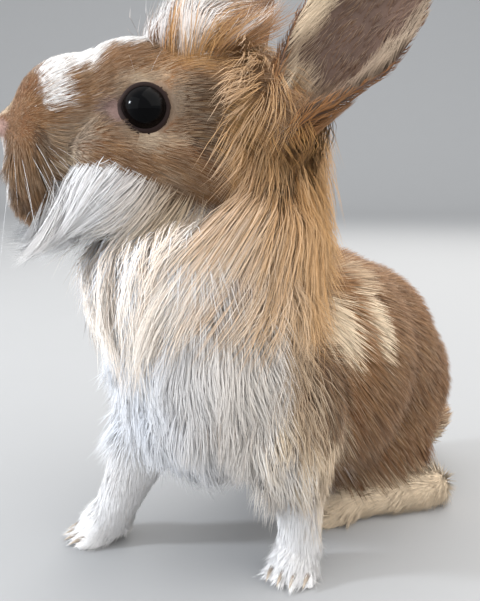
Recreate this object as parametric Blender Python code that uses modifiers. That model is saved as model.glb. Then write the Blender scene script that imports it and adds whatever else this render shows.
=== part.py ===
"""A lionhead rabbit sitting up on its forelegs, life size, head turned to its right.

Metres. The rabbit faces -Y, +X is its left and +Z is up, and it stands on the floor at z = 0.
Body places are measured from the floor point midway between the forefeet. Head places are
given as (side, ahead, up) from the middle of the skull at the height of the eyes.
"""

import math
import random

import bmesh
import bpy
from mathutils import Matrix, Vector
from mathutils.bvhtree import BVHTree

MM = 0.001
GAP = 0.3 * MM
# Locks are cut clear by a little less, so that no cut runs along a face that is already cut.
LOCK_GAP = 0.24 * MM
TWIN_GAP = 0.6 * MM

HEAD_AT = Vector((-20, -8, 168)) * MM
HEAD_TURN = math.radians(-33)
EYE_AT = (18, 4.5, 3.5)
EYE_RADIUS = 8.3
LID_THICKNESS = 1.5
EAR_THICKNESS = 2.2
EAR_LENGTH = 78
EAR_WIDTH = 36
WRIST_HEIGHT = 20
SHARP_EDGE = math.radians(40)

COAT = {
    "chestnut": ((0.36, 0.19, 0.08), 0.85),
    "cream": ((0.78, 0.70, 0.58), 0.85),
    "white": ((0.86, 0.85, 0.84), 0.85),
    "ear skin": ((0.42, 0.27, 0.21), 0.7),
    "eye": ((0.006, 0.005, 0.006), 0.05),
    "claw": ((0.20, 0.16, 0.13), 0.45),
}

# Each form is an ellipsoid: middle, then half sizes, in millimetres.
TRUNK = {
    "chest": ((-5, 9, 91), (38, 37, 55)),
    "belly": ((-2, 62, 72), (45, 54, 50)),
    "loin": ((-5, 96, 66), (41, 48, 46)),
    "rump": ((-6, 116, 52), (40, 40, 42)),
}
RUFF = {
    "mane": ((-8, 16, 130), (38, 33, 28)),
    "bib": ((-12, -2, 110), (34, 29, 38)),
}
RUFF_REGION = ((0, 20, 146), (74, 74, 48))
SHOULDER = ((26, 18, 64), (18, 24, 32))
NECK_FOOT = (-4, 26, 118)
NECK_TOP = (-1, 22, 158)
NECK_RADII = (30, 25)

# Limb stations: place and radius, from the body outwards.
FORELEGS = {
    "left": (((27, 20, 62), 13), ((26, 21, 36), 10.5), ((26, 22, 14), 9)),
    "right": (((-26, 0, 62), 13.5), ((-34, -4, 40), 11.5), ((-46, -8, 15), 9.5)),
}
LEG_TOP = 50
FOREPAWS = {
    "left": ((25, 21.5, 6.5), math.radians(20)),
    "right": ((-51.5, -10, 6.5), math.radians(-34)),
}

# Places of the hindquarters are measured from this point, turned to the rabbit's right.
HIND_AT = (-8, 105, 0)
HIND_TURN = math.radians(-20)
HAUNCH = ((22, -4, 44), (21, 38, 41))
HAUNCH_SHELL = ((27, -5, 43), (22, 42, 45))
HIND_HEEL = (35, 20, 8)
HIND_BALL = (28, -24, 7)
TAIL = ((-9, 50, 23), (11, 13, 12))

HEAD_FORMS = {
    "cranium": ((0, -15, 6), (26, 32, 28)),
    "forehead": ((0, 5, 7), (21, 25, 25)),
    "bridge": ((0, 24, 5), (14, 23, 21)),
    "muzzle": ((0, 37, -5), (15, 15, 20)),
    "nose": ((0, 49, -2), (6, 5, 7)),
    "chin": ((0, 33, -26), (11, 15, 11)),
    "throat": ((0, 4, -20), (17, 30, 16)),
}
HEAD_PAIRS = {
    "cheek": ((13, 3, -13), (14, 28, 20)),
    "jaw": ((15, -16, -12), (15, 19, 21)),
    "whisker pad": ((8, 40, -13), (9, 11, 13)),
    "socket": ((14, 4, 4), (9, 13, 12)),
    "ear root": ((17, -34, 4), (11, 14, 15)),
}

EARS = {
    "left": {"root": (21, -44, 0), "tip": (25, -92, 60), "faces": (0.86, 0.45, 0.2)},
    "right": {"root": (-18, -38, 12), "tip": (-26, -50, 88), "faces": (-0.72, 0.69, 0)},
}

# A lock's rings: share of its length, share of its width, thickness in millimetres.
LOCK_RINGS = ((0, 0.7, 3.2), (0.3, 1, 3), (0.6, 0.9, 2.6), (0.85, 0.55, 2))
SHORT_LOCK_RINGS = ((0, 0.75, 3.2), (0.4, 1, 2.8), (0.78, 0.65, 2))
SHORT_LOCK = 36
LOCK_ROOT = 4
LOCK_SEED = 11

# The mane and bib grow in tiers round an upright line through the neck and chest. A tier is
# its height, its first and last angle (-90 is the front), how many locks, their length and
# width, and how high they lie over the core.
COAT_AXIS = (-6, 16)
MANE_TIERS = (
    (113, -200, 140, 13, 54, 19, 8.5),
    (129, -185, 125, 11, 52, 19, 9.5),
    (146, -20, 160, 8, 46, 18, 7),
    (157, 40, 140, 4, 40, 21, 6),
)
BIB_TIERS = (
    (46, -150, -20, 6, 24, 20, 4),
    (60, -155, -12, 7, 30, 20, 4.5),
    (76, -158, -10, 7, 33, 20, 4.5),
    (92, -158, -10, 7, 34, 20, 4.5),
)

# Locks of the head that hang or stand free: root, way, length, width.
CHEEK_LOCKS = (
    ((6, 34, -30), (0, 0.5, -1), 30, 13),
    ((13, 30, -23), (0.05, 0.45, -1), 40, 14),
    ((18, 20, -22), (0.1, 0.3, -1), 44, 15),
    ((22, 8, -24), (0.15, 0, -1), 40, 16),
    ((25, -6, -20), (0.2, -0.2, -1), 38, 16),
    ((27, -18, -10), (0.25, -0.4, -1), 36, 16),
)
FOREHEAD_LOCKS = (
    ((7, -10, 30), (0.7, 0.5, 0.5), 20, 15),
    ((0, -18, 31), (0.1, 0.4, 0.8), 20, 16),
    ((8, -25, 29), (0.6, -0.5, 0.7), 21, 15),
)
# How many locks the tail has; a lock's length, width and height over the core.
TAIL_LOCKS = 6
TAIL_LOCK = (13, 13, 1)
FLANK_ROOTS = ((41, 54, 64), (43, 76, 58), (44, 62, 42))
FLANK_LOCK = (34, 14, 3.5)
HEAD_LOCK_LIFT = 2


def mm(values):
    return Vector(values) * MM


def clear_scene():
    for obj in list(bpy.data.objects):
        bpy.data.objects.remove(obj)


def collection(name, hidden=False):
    made = bpy.data.collections.new(name)
    bpy.context.scene.collection.children.link(made)
    made.hide_render = hidden
    return made


def shade(objs):
    """Smooth shading, with the sharp edges kept."""
    for obj in objs:
        obj.data.shade_smooth()
        obj.data.set_sharp_from_angle(angle=SHARP_EDGE)


def coat(name):
    colour, roughness = COAT[name]
    made = bpy.data.materials.new(name)
    made.use_nodes = True
    shader = made.node_tree.nodes["Principled BSDF"]
    shader.inputs["Base Color"].default_value = (*colour, 1)
    shader.inputs["Roughness"].default_value = roughness
    shader.inputs["Metallic"].default_value = 0
    return made


def new_object(name, bm, group, material=None):
    mesh = bpy.data.meshes.new(name)
    bm.to_mesh(mesh)
    bm.free()
    obj = bpy.data.objects.new(name, mesh)
    group.objects.link(obj)
    if group.hide_render:
        obj.display_type = "WIRE"
    if material:
        mesh.materials.append(material)
    return obj


def apply_modifiers(obj):
    """Keeps the shape that the modifiers give as the object's own mesh."""
    bpy.context.view_layer.update()
    evaluated = obj.evaluated_get(bpy.context.evaluated_depsgraph_get())
    made = bpy.data.meshes.new_from_object(evaluated)
    obj.modifiers.clear()
    obj.data = made
    return obj


def ball(bm, middle, radii, frame=None, rounds=(24, 16)):
    """Adds an ellipsoid to bm; middle and radii are in metres, in the frame given."""
    matrix = (frame or Matrix()) @ Matrix.LocRotScale(Vector(middle), None, Vector(radii))
    bmesh.ops.create_uvsphere(
        bm, u_segments=rounds[0], v_segments=rounds[1], radius=1, matrix=matrix
    )


def limb(bm, stations, steps=10):
    """Adds a string of overlapping balls along the stations, as round as each is wide."""
    for (start, r0), (end, r1) in zip(stations, stations[1:]):
        for step in range(steps + 1):
            share = step / steps
            radius = (r0 + (r1 - r0) * share) * MM
            ball(bm, mm(start).lerp(mm(end), share), (radius,) * 3, rounds=(16, 10))


def surface(*objs):
    """A search tree of the objects' faces, for laying locks on them."""
    points, faces = [], []
    for obj in objs:
        start = len(points)
        points += [obj.matrix_world @ v.co for v in obj.data.vertices]
        faces += [[start + i for i in f.vertices] for f in obj.data.polygons]
    return BVHTree.FromPolygons(points, faces)


def melt(obj, voxel, rounds, triangles):
    """Melts an object's overlapping forms into one closed skin of about that many triangles."""
    remesh = obj.modifiers.new("melt", "REMESH")
    remesh.mode = "VOXEL"
    remesh.voxel_size = voxel
    smooth = obj.modifiers.new("soften", "SMOOTH")
    smooth.factor = 0.5
    smooth.iterations = rounds
    apply_modifiers(obj)
    lie = surface(obj)
    thin = obj.modifiers.new("thin out", "DECIMATE")
    thin.ratio = min(1, triangles / (2 * len(obj.data.polygons)))
    apply_modifiers(obj)
    return obj, lie


def as_triangles(*objs):
    """Splits faces into triangles, so that each one is flat where it is cut."""
    for obj in objs:
        bm = bmesh.new()
        bm.from_mesh(obj.data)
        bmesh.ops.triangulate(bm, faces=bm.faces)
        bm.to_mesh(obj.data)
        bm.free()


def largest_body(obj):
    """Leaves only the largest closed surface of a mesh, in triangles."""
    bm = bmesh.new()
    bm.from_mesh(obj.data)
    bmesh.ops.triangulate(bm, faces=bm.faces)
    left = set(bm.faces)
    bodies = []
    while left:
        front = [left.pop()]
        body = list(front)
        while front:
            for edge in front.pop().edges:
                for face in edge.link_faces:
                    if face in left:
                        left.remove(face)
                        front.append(face)
                        body.append(face)
        bodies.append(body)
    bodies.sort(key=lambda faces: sum(face.calc_area() for face in faces))
    for body in bodies[:-1]:
        bmesh.ops.delete(bm, geom=body, context="FACES")
    bmesh.ops.delete(bm, geom=[v for v in bm.verts if not v.link_faces], context="VERTS")
    bm.to_mesh(obj.data)
    bm.free()


def cut(obj, cutter, operation="DIFFERENCE", solver="EXACT"):
    as_triangles(obj, cutter)
    boolean = obj.modifiers.new("cut", "BOOLEAN")
    boolean.operation = operation
    boolean.solver = solver
    boolean.object = cutter
    apply_modifiers(obj)
    largest_body(obj)
    return obj


def discard(*objs):
    for obj in objs:
        bpy.data.objects.remove(obj)


def copy_of(obj, name, group):
    made = obj.copy()
    made.data = obj.data.copy()
    made.name = name
    group.objects.link(made)
    return made


def grown(obj, group, by=GAP):
    """A copy of an object that stands clear of it by the given distance all round."""
    made = copy_of(obj, obj.name + " grown", group)
    push = made.modifiers.new("grow", "DISPLACE")
    push.mid_level = 0
    push.strength = by
    return apply_modifiers(made)


def clear_of(obj, others, group, solver="EXACT", gap=GAP):
    """Cuts an object clear of its neighbours by the gap."""
    for other in others:
        cutter = grown(other, group, gap)
        cut(obj, cutter, solver=solver)
        discard(cutter)


def block(name, low, high, group, frame=None):
    """A box between two corners, in millimetres of the frame given."""
    low, high = mm(low), mm(high)
    bm = bmesh.new()
    matrix = Matrix.LocRotScale((low + high) / 2, None, high - low)
    bmesh.ops.create_cube(bm, size=1, matrix=(frame or Matrix()) @ matrix)
    return new_object(name, bm, group)


def split(whole, name, region, group, grow):
    """Takes the part of the whole inside a region as a new object, and leaves the rest.

    grow is a region a gap larger, which is cut from the whole."""
    taken = copy_of(whole, name, group)
    cut(taken, region, "INTERSECT")
    cut(whole, grow)
    discard(region, grow)
    return taken


def head_frame():
    """(side, -ahead, up) of the head to the world."""
    return Matrix.Translation(HEAD_AT) @ Matrix.Rotation(HEAD_TURN, 4, "Z")


def head_mm(side, ahead, up):
    return Vector((side, -ahead, up)) * MM


def side_sign(side):
    return 1 if side == "left" else -1


def mirrored(values, sign):
    return (values[0] * sign, *values[1:])


def hind_frame():
    return Matrix.Translation(mm(HIND_AT)) @ Matrix.Rotation(HIND_TURN, 4, "Z")


def make_body(group, material):
    """Trunk, neck, upper forelegs and haunches as one skin."""
    bm = bmesh.new()
    for middle, radii in (*TRUNK.values(), *RUFF.values()):
        ball(bm, mm(middle), mm(radii))
    limb(bm, [(NECK_FOOT, NECK_RADII[0]), (NECK_TOP, NECK_RADII[1])])
    for side, stations in FORELEGS.items():
        sign = side_sign(side)
        ball(bm, mm(mirrored(SHOULDER[0], sign)), mm(SHOULDER[1]))
        limb(bm, stations)
        ball(bm, mm(mirrored(HAUNCH[0], sign)), mm(HAUNCH[1]), hind_frame())
    body = new_object("torso", bm, group, material)
    return melt(body, 2.4 * MM, 8, 1130)


def add_toes(bm, frame, pitch, reach, radii):
    """Four toes side by side, the middle pair longest, pointing along -Y of the frame."""
    for toe in range(4):
        off = toe - 1.5
        place = Vector((pitch * off, -reach + 1.6 * abs(off), radii[2] - 9)) * MM
        turn = Matrix.Translation(place) @ Matrix.Rotation(0.12 * off, 4, "Z")
        ball(bm, (0, 0, 0), mm(radii), frame @ turn, (14, 10))


def paw_frame(side):
    place, turn = FOREPAWS[side]
    return Matrix.Translation(mm(place)) @ Matrix.Rotation(turn, 4, "Z")


def make_forepaw(side, group, material):
    """A forepaw with four toes and its wrist, up to the cut below the foreleg."""
    bm = bmesh.new()
    ball(bm, mm((0, 1, 1.5)), mm((9.5, 12, 8.5)), paw_frame(side))
    add_toes(bm, paw_frame(side), 4.7, 8, (2.9, 7, 4.6))
    limb(bm, FORELEGS[side][1:])
    paw = new_object(f"forepaw_{side}", bm, group, material)
    return melt(paw, 1.1 * MM, 4, 400)[0]


def hindfoot_frame(side):
    """The hind foot's frame: its origin is the ball of the foot and -Y runs to the toes."""
    sign = side_sign(side)
    heel, toes = (mm(mirrored(place, sign)) for place in (HIND_HEEL, HIND_BALL))
    along = heel - toes
    turn = math.atan2(-along.x, along.y)
    return hind_frame() @ Matrix.Translation(toes) @ Matrix.Rotation(turn, 4, "Z")


def make_hindfoot(side, group, material):
    """The long hind foot, flat on the floor from its heel to its four toes."""
    frame = hindfoot_frame(side)
    length = (mm(HIND_HEEL) - mm(HIND_BALL)).length
    bm = bmesh.new()
    for step in range(9):
        share = step / 8
        ball(bm, (0, length * share, 0), mm((10, 10, 8.5 + 1.5 * share)), frame, (16, 10))
    add_toes(bm, frame, 5, 9, (3.2, 9, 5.2))
    foot = new_object(f"hindfoot_{side}", bm, group, material)
    return melt(foot, 1.2 * MM, 4, 400)[0]


def add_claws(frame, name, places, group, material):
    """Curved claws, each a bent cone that leaves its toe just above the floor."""
    claws = []
    for number, (x, y, z) in enumerate(places, 1):
        bm = bmesh.new()
        rings = ((4, 1.5, 0.6), (0, 1.3, 0.5), (-3, 0.8, -0.6))
        rows = []
        for along, radius, rise in rings:
            row = []
            for corner in range(5):
                angle = 2 * math.pi * corner / 5
                side, up = radius * math.cos(angle), radius * math.sin(angle)
                row.append(bm.verts.new(mm((x + side, y + along, z + rise + up))))
            rows.append(row)
        tip = bm.verts.new(mm((x, y - 5, z - 1.6)))
        bm.faces.new(rows[0])
        for low, high in zip(rows, rows[1:]):
            for corner in range(5):
                after = (corner + 1) % 5
                bm.faces.new((low[corner], low[after], high[after], high[corner]))
        for corner in range(5):
            bm.faces.new((rows[-1][corner], rows[-1][(corner + 1) % 5], tip))
        bmesh.ops.recalc_face_normals(bm, faces=bm.faces)
        bmesh.ops.transform(bm, matrix=frame, verts=bm.verts)
        claws.append(new_object(f"{name}_{number}", bm, group, material))
    return claws


def add_ring(bm, frame, radii, thickness, rounds=20):
    """Adds an oval ring in the frame's XZ plane."""
    for step in range(rounds):
        angle = 2 * math.pi * step / rounds
        place = Vector((radii[0] * math.cos(angle), 0, radii[1] * math.sin(angle))) * MM
        ball(bm, place, (thickness * MM,) * 3, frame, (8, 6))


def eye_frame(side):
    """At the eyeball's middle; -Y looks out of the eye."""
    sign = side_sign(side)
    place, ahead, up = EYE_AT
    centre = Matrix.Translation(head_mm(place * sign, ahead, up))
    return head_frame() @ centre @ Matrix.Rotation(sign * math.radians(78), 4, "Z")


def make_head(group, material):
    """The head with its eyelids, before the eye sockets, mouth and nostrils are cut."""
    frame = head_frame()
    bm = bmesh.new()
    for (side, ahead, up), radii in HEAD_FORMS.values():
        ball(bm, head_mm(side, ahead, up), mm(radii), frame)
    for (side, ahead, up), radii in HEAD_PAIRS.values():
        for sign in (1, -1):
            ball(bm, head_mm(side * sign, ahead, up), mm(radii), frame)
    head = new_object("head", bm, group, material)
    return melt(head, 1.3 * MM, 16, 1400)


def add_lids(head, group):
    """Raises a rim of upper and lower lid round each eye, drawn out to a corner in front."""
    for side in FORELEGS:
        frame = eye_frame(side) @ Matrix.Translation(mm((0, -2.6, 0)))
        bm = bmesh.new()
        add_ring(bm, frame, (8.2, 7.4), LID_THICKNESS, 32)
        lids = new_object("lids", bm, group)
        melt(lids, 0.7 * MM, 2, 180)
        cut(head, lids, "UNION")
        discard(lids)


def carve_face(head, group):
    """Cuts the mouth line, the groove below the nose and the two nostrils."""
    bm = bmesh.new()
    for sign in (1, -1):
        corner, middle = (9 * sign, 46, -21), (0, 52.5, -15)
        stations = [(head_mm(*place) / MM, 0.9) for place in (middle, corner)]
        limb(bm, stations, 14)
        ball(bm, head_mm(3.2 * sign, 52.6, -2.5), mm((1.5, 3, 0.8)), rounds=(12, 8))
    stations = [(head_mm(*place) / MM, 0.8) for place in ((0, 54.4, -6), (0, 52.5, -15))]
    limb(bm, stations, 8)
    cutter = new_object("face lines", bm, group)
    melt(cutter, 0.5 * MM, 0, 280)
    cutter.matrix_world = head_frame()
    cut(head, cutter)
    discard(cutter)


def make_eye(side, group, material):
    sign = side_sign(side)
    place, ahead, up = EYE_AT
    bm = bmesh.new()
    ball(bm, head_mm(place * sign, ahead, up), (EYE_RADIUS * MM,) * 3, head_frame(), (14, 9))
    return new_object(f"eye_{side}", bm, group, material)


def ear_frame(side):
    """Up the ear is +Z, and its cup opens towards -Y."""
    spec = EARS[side]
    root, tip, faces = (head_mm(*spec[key]) for key in ("root", "tip", "faces"))
    up = (tip - root).normalized()
    back = -(faces - faces.dot(up) * up).normalized()
    across = back.cross(up)
    turn = Matrix((across, back, up)).transposed().to_4x4()
    return head_frame() @ Matrix.Translation(root) @ turn


def ear_section(share):
    """Half opening angle and arc length of the ear at a share of its length."""
    spread = math.sin(math.pi / 2 * min(1, share / 0.5)) ** 0.8
    close = max(0, (share - 0.5) / 0.5)
    width = EAR_WIDTH * 1.2 * (0.62 + 0.38 * spread) * math.sqrt(max(0.012, 1 - close**2.6))
    half_angle = math.radians(150 - 95 * min(1, share * 1.9))
    return half_angle, width


def make_ear(side, group, material):
    """A cupped leaf: a rolled tube at its root that opens out and comes to a round point."""
    rings, across = 11, 8
    bm = bmesh.new()
    rows = []
    for ring in range(rings):
        share = ring / (rings - 1)
        half_angle, width = ear_section(share)
        radius = width / (2 * half_angle)
        height = EAR_LENGTH * (share - 0.12)
        row = []
        for column in range(across):
            angle = half_angle * (2 * column / (across - 1) - 1)
            place = (radius * math.sin(angle), radius * (math.cos(angle) - 1) + 4, height)
            row.append(bm.verts.new(mm(place)))
        rows.append(row)
    for low, high in zip(rows, rows[1:]):
        for column in range(across - 1):
            bm.faces.new((low[column], low[column + 1], high[column + 1], high[column]))
    ear = new_object(f"ear_{side}", bm, group, material)
    ear.matrix_world = ear_frame(side)
    wall = ear.modifiers.new("thickness", "SOLIDIFY")
    wall.thickness = EAR_THICKNESS * MM
    wall.offset = 0
    return apply_modifiers(ear)


def make_tail(group, material):
    bm = bmesh.new()
    ball(bm, mm(TAIL[0]), mm(TAIL[1]), hind_frame(), rounds=(12, 8))
    return new_object("tail", bm, group, material)


def split_neck(body, group, material, cutters):
    bm = bmesh.new()
    ball(bm, mm(RUFF_REGION[0]), mm(RUFF_REGION[1]), rounds=(22, 12))
    region = new_object("ruff region", bm, cutters)
    neck = split(body, "neck", region, group, grown(region, cutters))
    neck.data.materials.clear()
    neck.data.materials.append(material)
    return neck


def split_legs(body, group, cutters, paint):
    """Takes the haunches and the upper forelegs from the body."""
    legs = []
    for side in FORELEGS:
        sign = side_sign(side)
        bm = bmesh.new()
        middle, radii = HAUNCH_SHELL
        ball(bm, mm(mirrored(middle, sign)), mm(radii), hind_frame(), rounds=(18, 10))
        region = new_object("haunch region", bm, cutters)
        legs.append(split(body, f"hindleg_{side}", region, group, grown(region, cutters)))
        (top, radius), *lower = FORELEGS[side]
        bm = bmesh.new()
        limb(bm, [(top, radius + 5), *((place, r + 5) for place, r in lower)])
        region = new_object("foreleg region", bm, cutters)
        melt(region, 2.5 * MM, 4, 260)
        lid = block("leg top", (-90, -90, LEG_TOP), (90, 90, 120), cutters)
        cut(region, lid)
        discard(lid)
        leg = split(body, f"foreleg_{side}", region, group, grown(region, cutters))
        leg.data.materials.clear()
        leg.data.materials.append(paint["white"])
        legs.append(leg)
    return legs


def cut_level(objs, low, high, cutters):
    """Cuts away all that lies between two heights."""
    for obj in objs:
        slab = block("slab", (-200, -200, low), (200, 300, high), cutters)
        cut(obj, slab)
        discard(slab)


def stand_on_origin(objs):
    """Moves the rabbit so that the middle of its footprint box is the origin."""
    bpy.context.view_layer.update()
    points = [obj.matrix_world @ v.co for obj in objs for v in obj.data.vertices]
    for axis in range(2):
        middle = (min(p[axis] for p in points) + max(p[axis] for p in points)) / 2
        for obj in objs:
            obj.location[axis] -= middle


def lay_lock(lie, root, towards, length, width, lift, group, dice, free=False):
    """Adds a flat tapered lock that follows the surface under it, or hangs free in a bend."""
    rings = SHORT_LOCK_RINGS if length < SHORT_LOCK else LOCK_RINGS
    length *= dice.uniform(0.88, 1.12) * MM
    width *= dice.uniform(0.9, 1.1) * MM
    turn = dice.uniform(-0.5, 0.5)
    spot, normal, *_ = lie.find_nearest(root)
    towards = Vector(towards).normalized()
    bm = bmesh.new()
    rows = []
    share = 0
    for ring_share, ring_width, thickness in (*rings, (1, 0, 0)):
        step = length * (ring_share - share)
        along = towards if free else (towards - towards.dot(normal) * normal).normalized()
        along = Matrix.Rotation(turn * (ring_share - share), 3, normal) @ along
        if free:
            spot = spot + along * step
            towards = (towards - Vector((0, 0, 0.25 * share))).normalized()
        elif ring_share:
            spot, normal, *_ = lie.find_nearest(spot + along * step)
        height = -LOCK_ROOT if ring_share == 0 else lift * min(1, 0.5 + ring_share)
        middle = spot + normal * height * MM
        across = along.cross(normal).normalized() * ring_width * width / 2
        out = normal * thickness * MM
        if ring_width:
            rows.append([bm.verts.new(middle + edge) for edge in (across, out, -across)])
        share = ring_share
    tip = bm.verts.new(middle)
    bm.faces.new(rows[0])
    for low, high in zip(rows, rows[1:]):
        for corner in range(3):
            after = (corner + 1) % 3
            bm.faces.new((low[corner], low[after], high[after], high[corner]))
    for corner in range(3):
        bm.faces.new((rows[-1][corner], rows[-1][(corner + 1) % 3], tip))
    bmesh.ops.recalc_face_normals(bm, faces=bm.faces)
    bmesh.ops.triangulate(bm, faces=bm.faces)
    return new_object("lock", bm, group)


def fuse(obj, locks, solver="EXACT"):
    """Joins a collection of locks to their node by one union."""
    if locks.objects:
        as_triangles(obj)
        union = obj.modifiers.new("fuse", "BOOLEAN")
        union.operation = "UNION"
        union.operand_type = "COLLECTION"
        union.collection = locks
        union.solver = solver
        apply_modifiers(obj)
        largest_body(obj)
    discard(*locks.objects)
    bpy.data.collections.remove(locks)


def twins_of(locks):
    """Fatter copies of some locks, which cut clear whatever the locks cross."""
    twins = collection(locks.name + " twins", hidden=True)
    for lock in locks.objects:
        twin = grown(lock, twins, TWIN_GAP)
        as_triangles(twin)
    return twins


def carve(obj, twins):
    """Cuts an object clear of another node's locks, by one difference."""
    as_triangles(obj)
    difference = obj.modifiers.new("carve", "BOOLEAN")
    difference.operation = "DIFFERENCE"
    difference.operand_type = "COLLECTION"
    difference.collection = twins
    difference.solver = "MANIFOLD"
    apply_modifiers(obj)
    largest_body(obj)


def tier_locks(tiers, lie, blocked, group, dice):
    """Locks in tiers round the neck or chest, left out where the head is in the way."""
    for height, first, last, count, length, width, lift in tiers:
        for step in range(count):
            share = (step + dice.uniform(-0.2, 0.2)) / (count - 1)
            angle = math.radians(first + (last - first) * share)
            out = Vector((math.cos(angle), math.sin(angle), 0))
            centre = mm((*COAT_AXIS, height + dice.uniform(-3, 3)))
            root, normal, _, reach = lie.ray_cast(centre + out * 0.15, -out)
            head = blocked.ray_cast(centre + out * 0.15, -out)
            if root is None or (head[0] and head[3] < reach + LOCK_ROOT * MM):
                continue
            towards = out * 0.15 + Vector((0, 0.12 if out.y > 0 else -0.05, -1))
            lay_lock(lie, root, towards, length, width, lift, group, dice)


def head_locks(lie, group, dice):
    """Cheek and beard locks on both sides of the head, and the tuft on its forehead."""
    frame = head_frame()
    turn = frame.to_3x3()
    for place, way, length, width in CHEEK_LOCKS + FOREHEAD_LOCKS:
        for sign in (1, -1) if place[0] else (1,):
            root = frame @ head_mm(*mirrored(place, sign))
            towards = turn @ head_mm(*mirrored(way, sign))
            lay_lock(lie, root, towards, length, width, HEAD_LOCK_LIFT, group, dice, free=True)


def main():
    clear_scene()
    rabbit = collection("lionhead_rabbit")
    cutters = collection("cutters", hidden=True)
    paint = {name: coat(name) for name in COAT}

    dice = random.Random(LOCK_SEED)
    head, head_lie = make_head(rabbit, paint["chestnut"])
    body, body_lie = make_body(rabbit, paint["chestnut"])
    both_lie = surface(head, body)
    add_lids(head, cutters)
    eyes = [make_eye(side, rabbit, paint["eye"]) for side in FORELEGS]
    carve_face(head, cutters)
    clear_of(head, eyes, cutters)

    ears = [make_ear(side, rabbit, paint["ear skin"]) for side in FORELEGS]
    for ear in ears:
        clear_of(ear, [head], cutters)
    clear_of(body, [head, *ears], cutters, "MANIFOLD")

    paws = [make_forepaw(side, rabbit, paint["white"]) for side in FORELEGS]
    feet = [make_hindfoot(side, rabbit, paint["cream"]) for side in FORELEGS]
    cut_level(paws, WRIST_HEIGHT, 200, cutters)
    neck = split_neck(body, rabbit, paint["cream"], cutters)
    legs = split_legs(body, rabbit, cutters, paint)
    forelegs = [leg for leg in legs if leg.name.startswith("fore")]
    hindlegs = [leg for leg in legs if leg.name.startswith("hind")]
    cut_level(forelegs, -50, WRIST_HEIGHT + 0.3, cutters)
    for leg in hindlegs:
        clear_of(leg, feet, cutters)
    clear_of(body, feet, cutters)
    cut_level([*paws, *feet, *hindlegs, body], -50, 0, cutters)
    tail = make_tail(rabbit, paint["cream"])
    tail_lie = surface(tail)

    locks = collection("head locks", hidden=True)
    head_locks(both_lie, locks, dice)
    head_twins = twins_of(locks)
    fuse(head, locks)
    clear_of(head, ears, cutters, "MANIFOLD", LOCK_GAP)
    locks = collection("mane", hidden=True)
    tier_locks(MANE_TIERS, body_lie, head_lie, locks, dice)
    mane_twins = twins_of(locks)
    fuse(neck, locks, "MANIFOLD")
    carve(neck, head_twins)
    clear_of(neck, [head, *ears], cutters, "MANIFOLD", LOCK_GAP)
    locks = collection("bib and flanks", hidden=True)
    tier_locks(BIB_TIERS, body_lie, head_lie, locks, dice)
    for x, y, z in FLANK_ROOTS:
        for sign in (1, -1):
            lay_lock(body_lie, mm((x * sign - 5, y, z)), (0, 0.35, -1), *FLANK_LOCK, locks, dice)
    fuse(body, locks, "MANIFOLD")
    carve(body, head_twins)
    carve(body, mane_twins)
    around = [head, neck, *forelegs, *hindlegs, *paws, *feet]
    clear_of(body, around, cutters, "MANIFOLD", LOCK_GAP)
    locks = collection("tail locks", hidden=True)
    for step in range(TAIL_LOCKS):
        angle = 2 * math.pi * (step + 0.3) / TAIL_LOCKS
        spread = Vector((math.cos(angle), 0, math.sin(angle)))
        root = hind_frame() @ (mm(TAIL[0]) + (spread + Vector((0, 0.6, 0))) * 0.01)
        way = hind_frame().to_3x3() @ (spread * 0.7 + Vector((0, 0.8, 0)))
        lay_lock(tail_lie, root, way, *TAIL_LOCK, locks, dice, free=True)
    fuse(tail, locks)
    clear_of(tail, [body, *hindlegs], cutters, "MANIFOLD")
    cut_level([tail], -50, 0, cutters)

    claws = []
    for side, paw in zip(FORELEGS, paws):
        places = [(4.7 * (n - 1.5), -14 + 1.6 * abs(n - 1.5), -3) for n in range(4)]
        claws += add_claws(paw_frame(side), f"claw_fore_{side}", places, rabbit, paint["claw"])
        for claw in claws[-4:]:
            clear_of(claw, [paw], cutters)
    for side, foot in zip(FORELEGS, feet):
        places = [(5 * (n - 1.5), -17 + 1.6 * abs(n - 1.5), -4.5) for n in (0, 1, 2)]
        claws += add_claws(hindfoot_frame(side), f"claw_hind_{side}", places, rabbit, paint["claw"])
        for claw in claws[-3:]:
            clear_of(claw, [foot], cutters)

    nodes = [head, neck, body, tail, *eyes, *ears, *paws, *feet, *legs, *claws]
    stand_on_origin(nodes)
    shade(nodes)


main()
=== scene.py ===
import math

import bmesh
import bpy
import numpy as np
from bpy.props import FloatProperty, FloatVectorProperty, IntProperty, PointerProperty
from mathutils import Matrix, Vector
from mathutils.bvhtree import BVHTree


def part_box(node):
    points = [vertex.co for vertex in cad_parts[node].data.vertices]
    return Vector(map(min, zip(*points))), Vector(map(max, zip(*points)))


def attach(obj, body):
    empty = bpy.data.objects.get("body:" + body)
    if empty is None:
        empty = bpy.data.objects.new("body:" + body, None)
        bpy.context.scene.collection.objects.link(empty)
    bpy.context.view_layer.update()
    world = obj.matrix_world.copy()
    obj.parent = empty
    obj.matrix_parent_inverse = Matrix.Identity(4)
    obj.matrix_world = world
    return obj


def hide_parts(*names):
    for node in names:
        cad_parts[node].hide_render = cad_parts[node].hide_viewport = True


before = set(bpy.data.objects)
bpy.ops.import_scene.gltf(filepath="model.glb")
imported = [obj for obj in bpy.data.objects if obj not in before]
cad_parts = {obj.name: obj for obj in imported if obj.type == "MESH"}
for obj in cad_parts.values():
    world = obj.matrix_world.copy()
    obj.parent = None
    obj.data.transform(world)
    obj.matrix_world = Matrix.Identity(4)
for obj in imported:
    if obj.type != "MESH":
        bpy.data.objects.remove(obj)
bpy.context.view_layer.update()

bl_info = {
    "name": "Lionhead rabbit coat",
    "version": (1, 0, 0),
    "blender": (4, 5, 0),
    "location": "3D View > Sidebar > Rabbit",
    "description": "Skin, eyes, claws and coat of a lionhead rabbit around its packed solids",
    "category": "Add Mesh",
}

MM = 0.001
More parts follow.
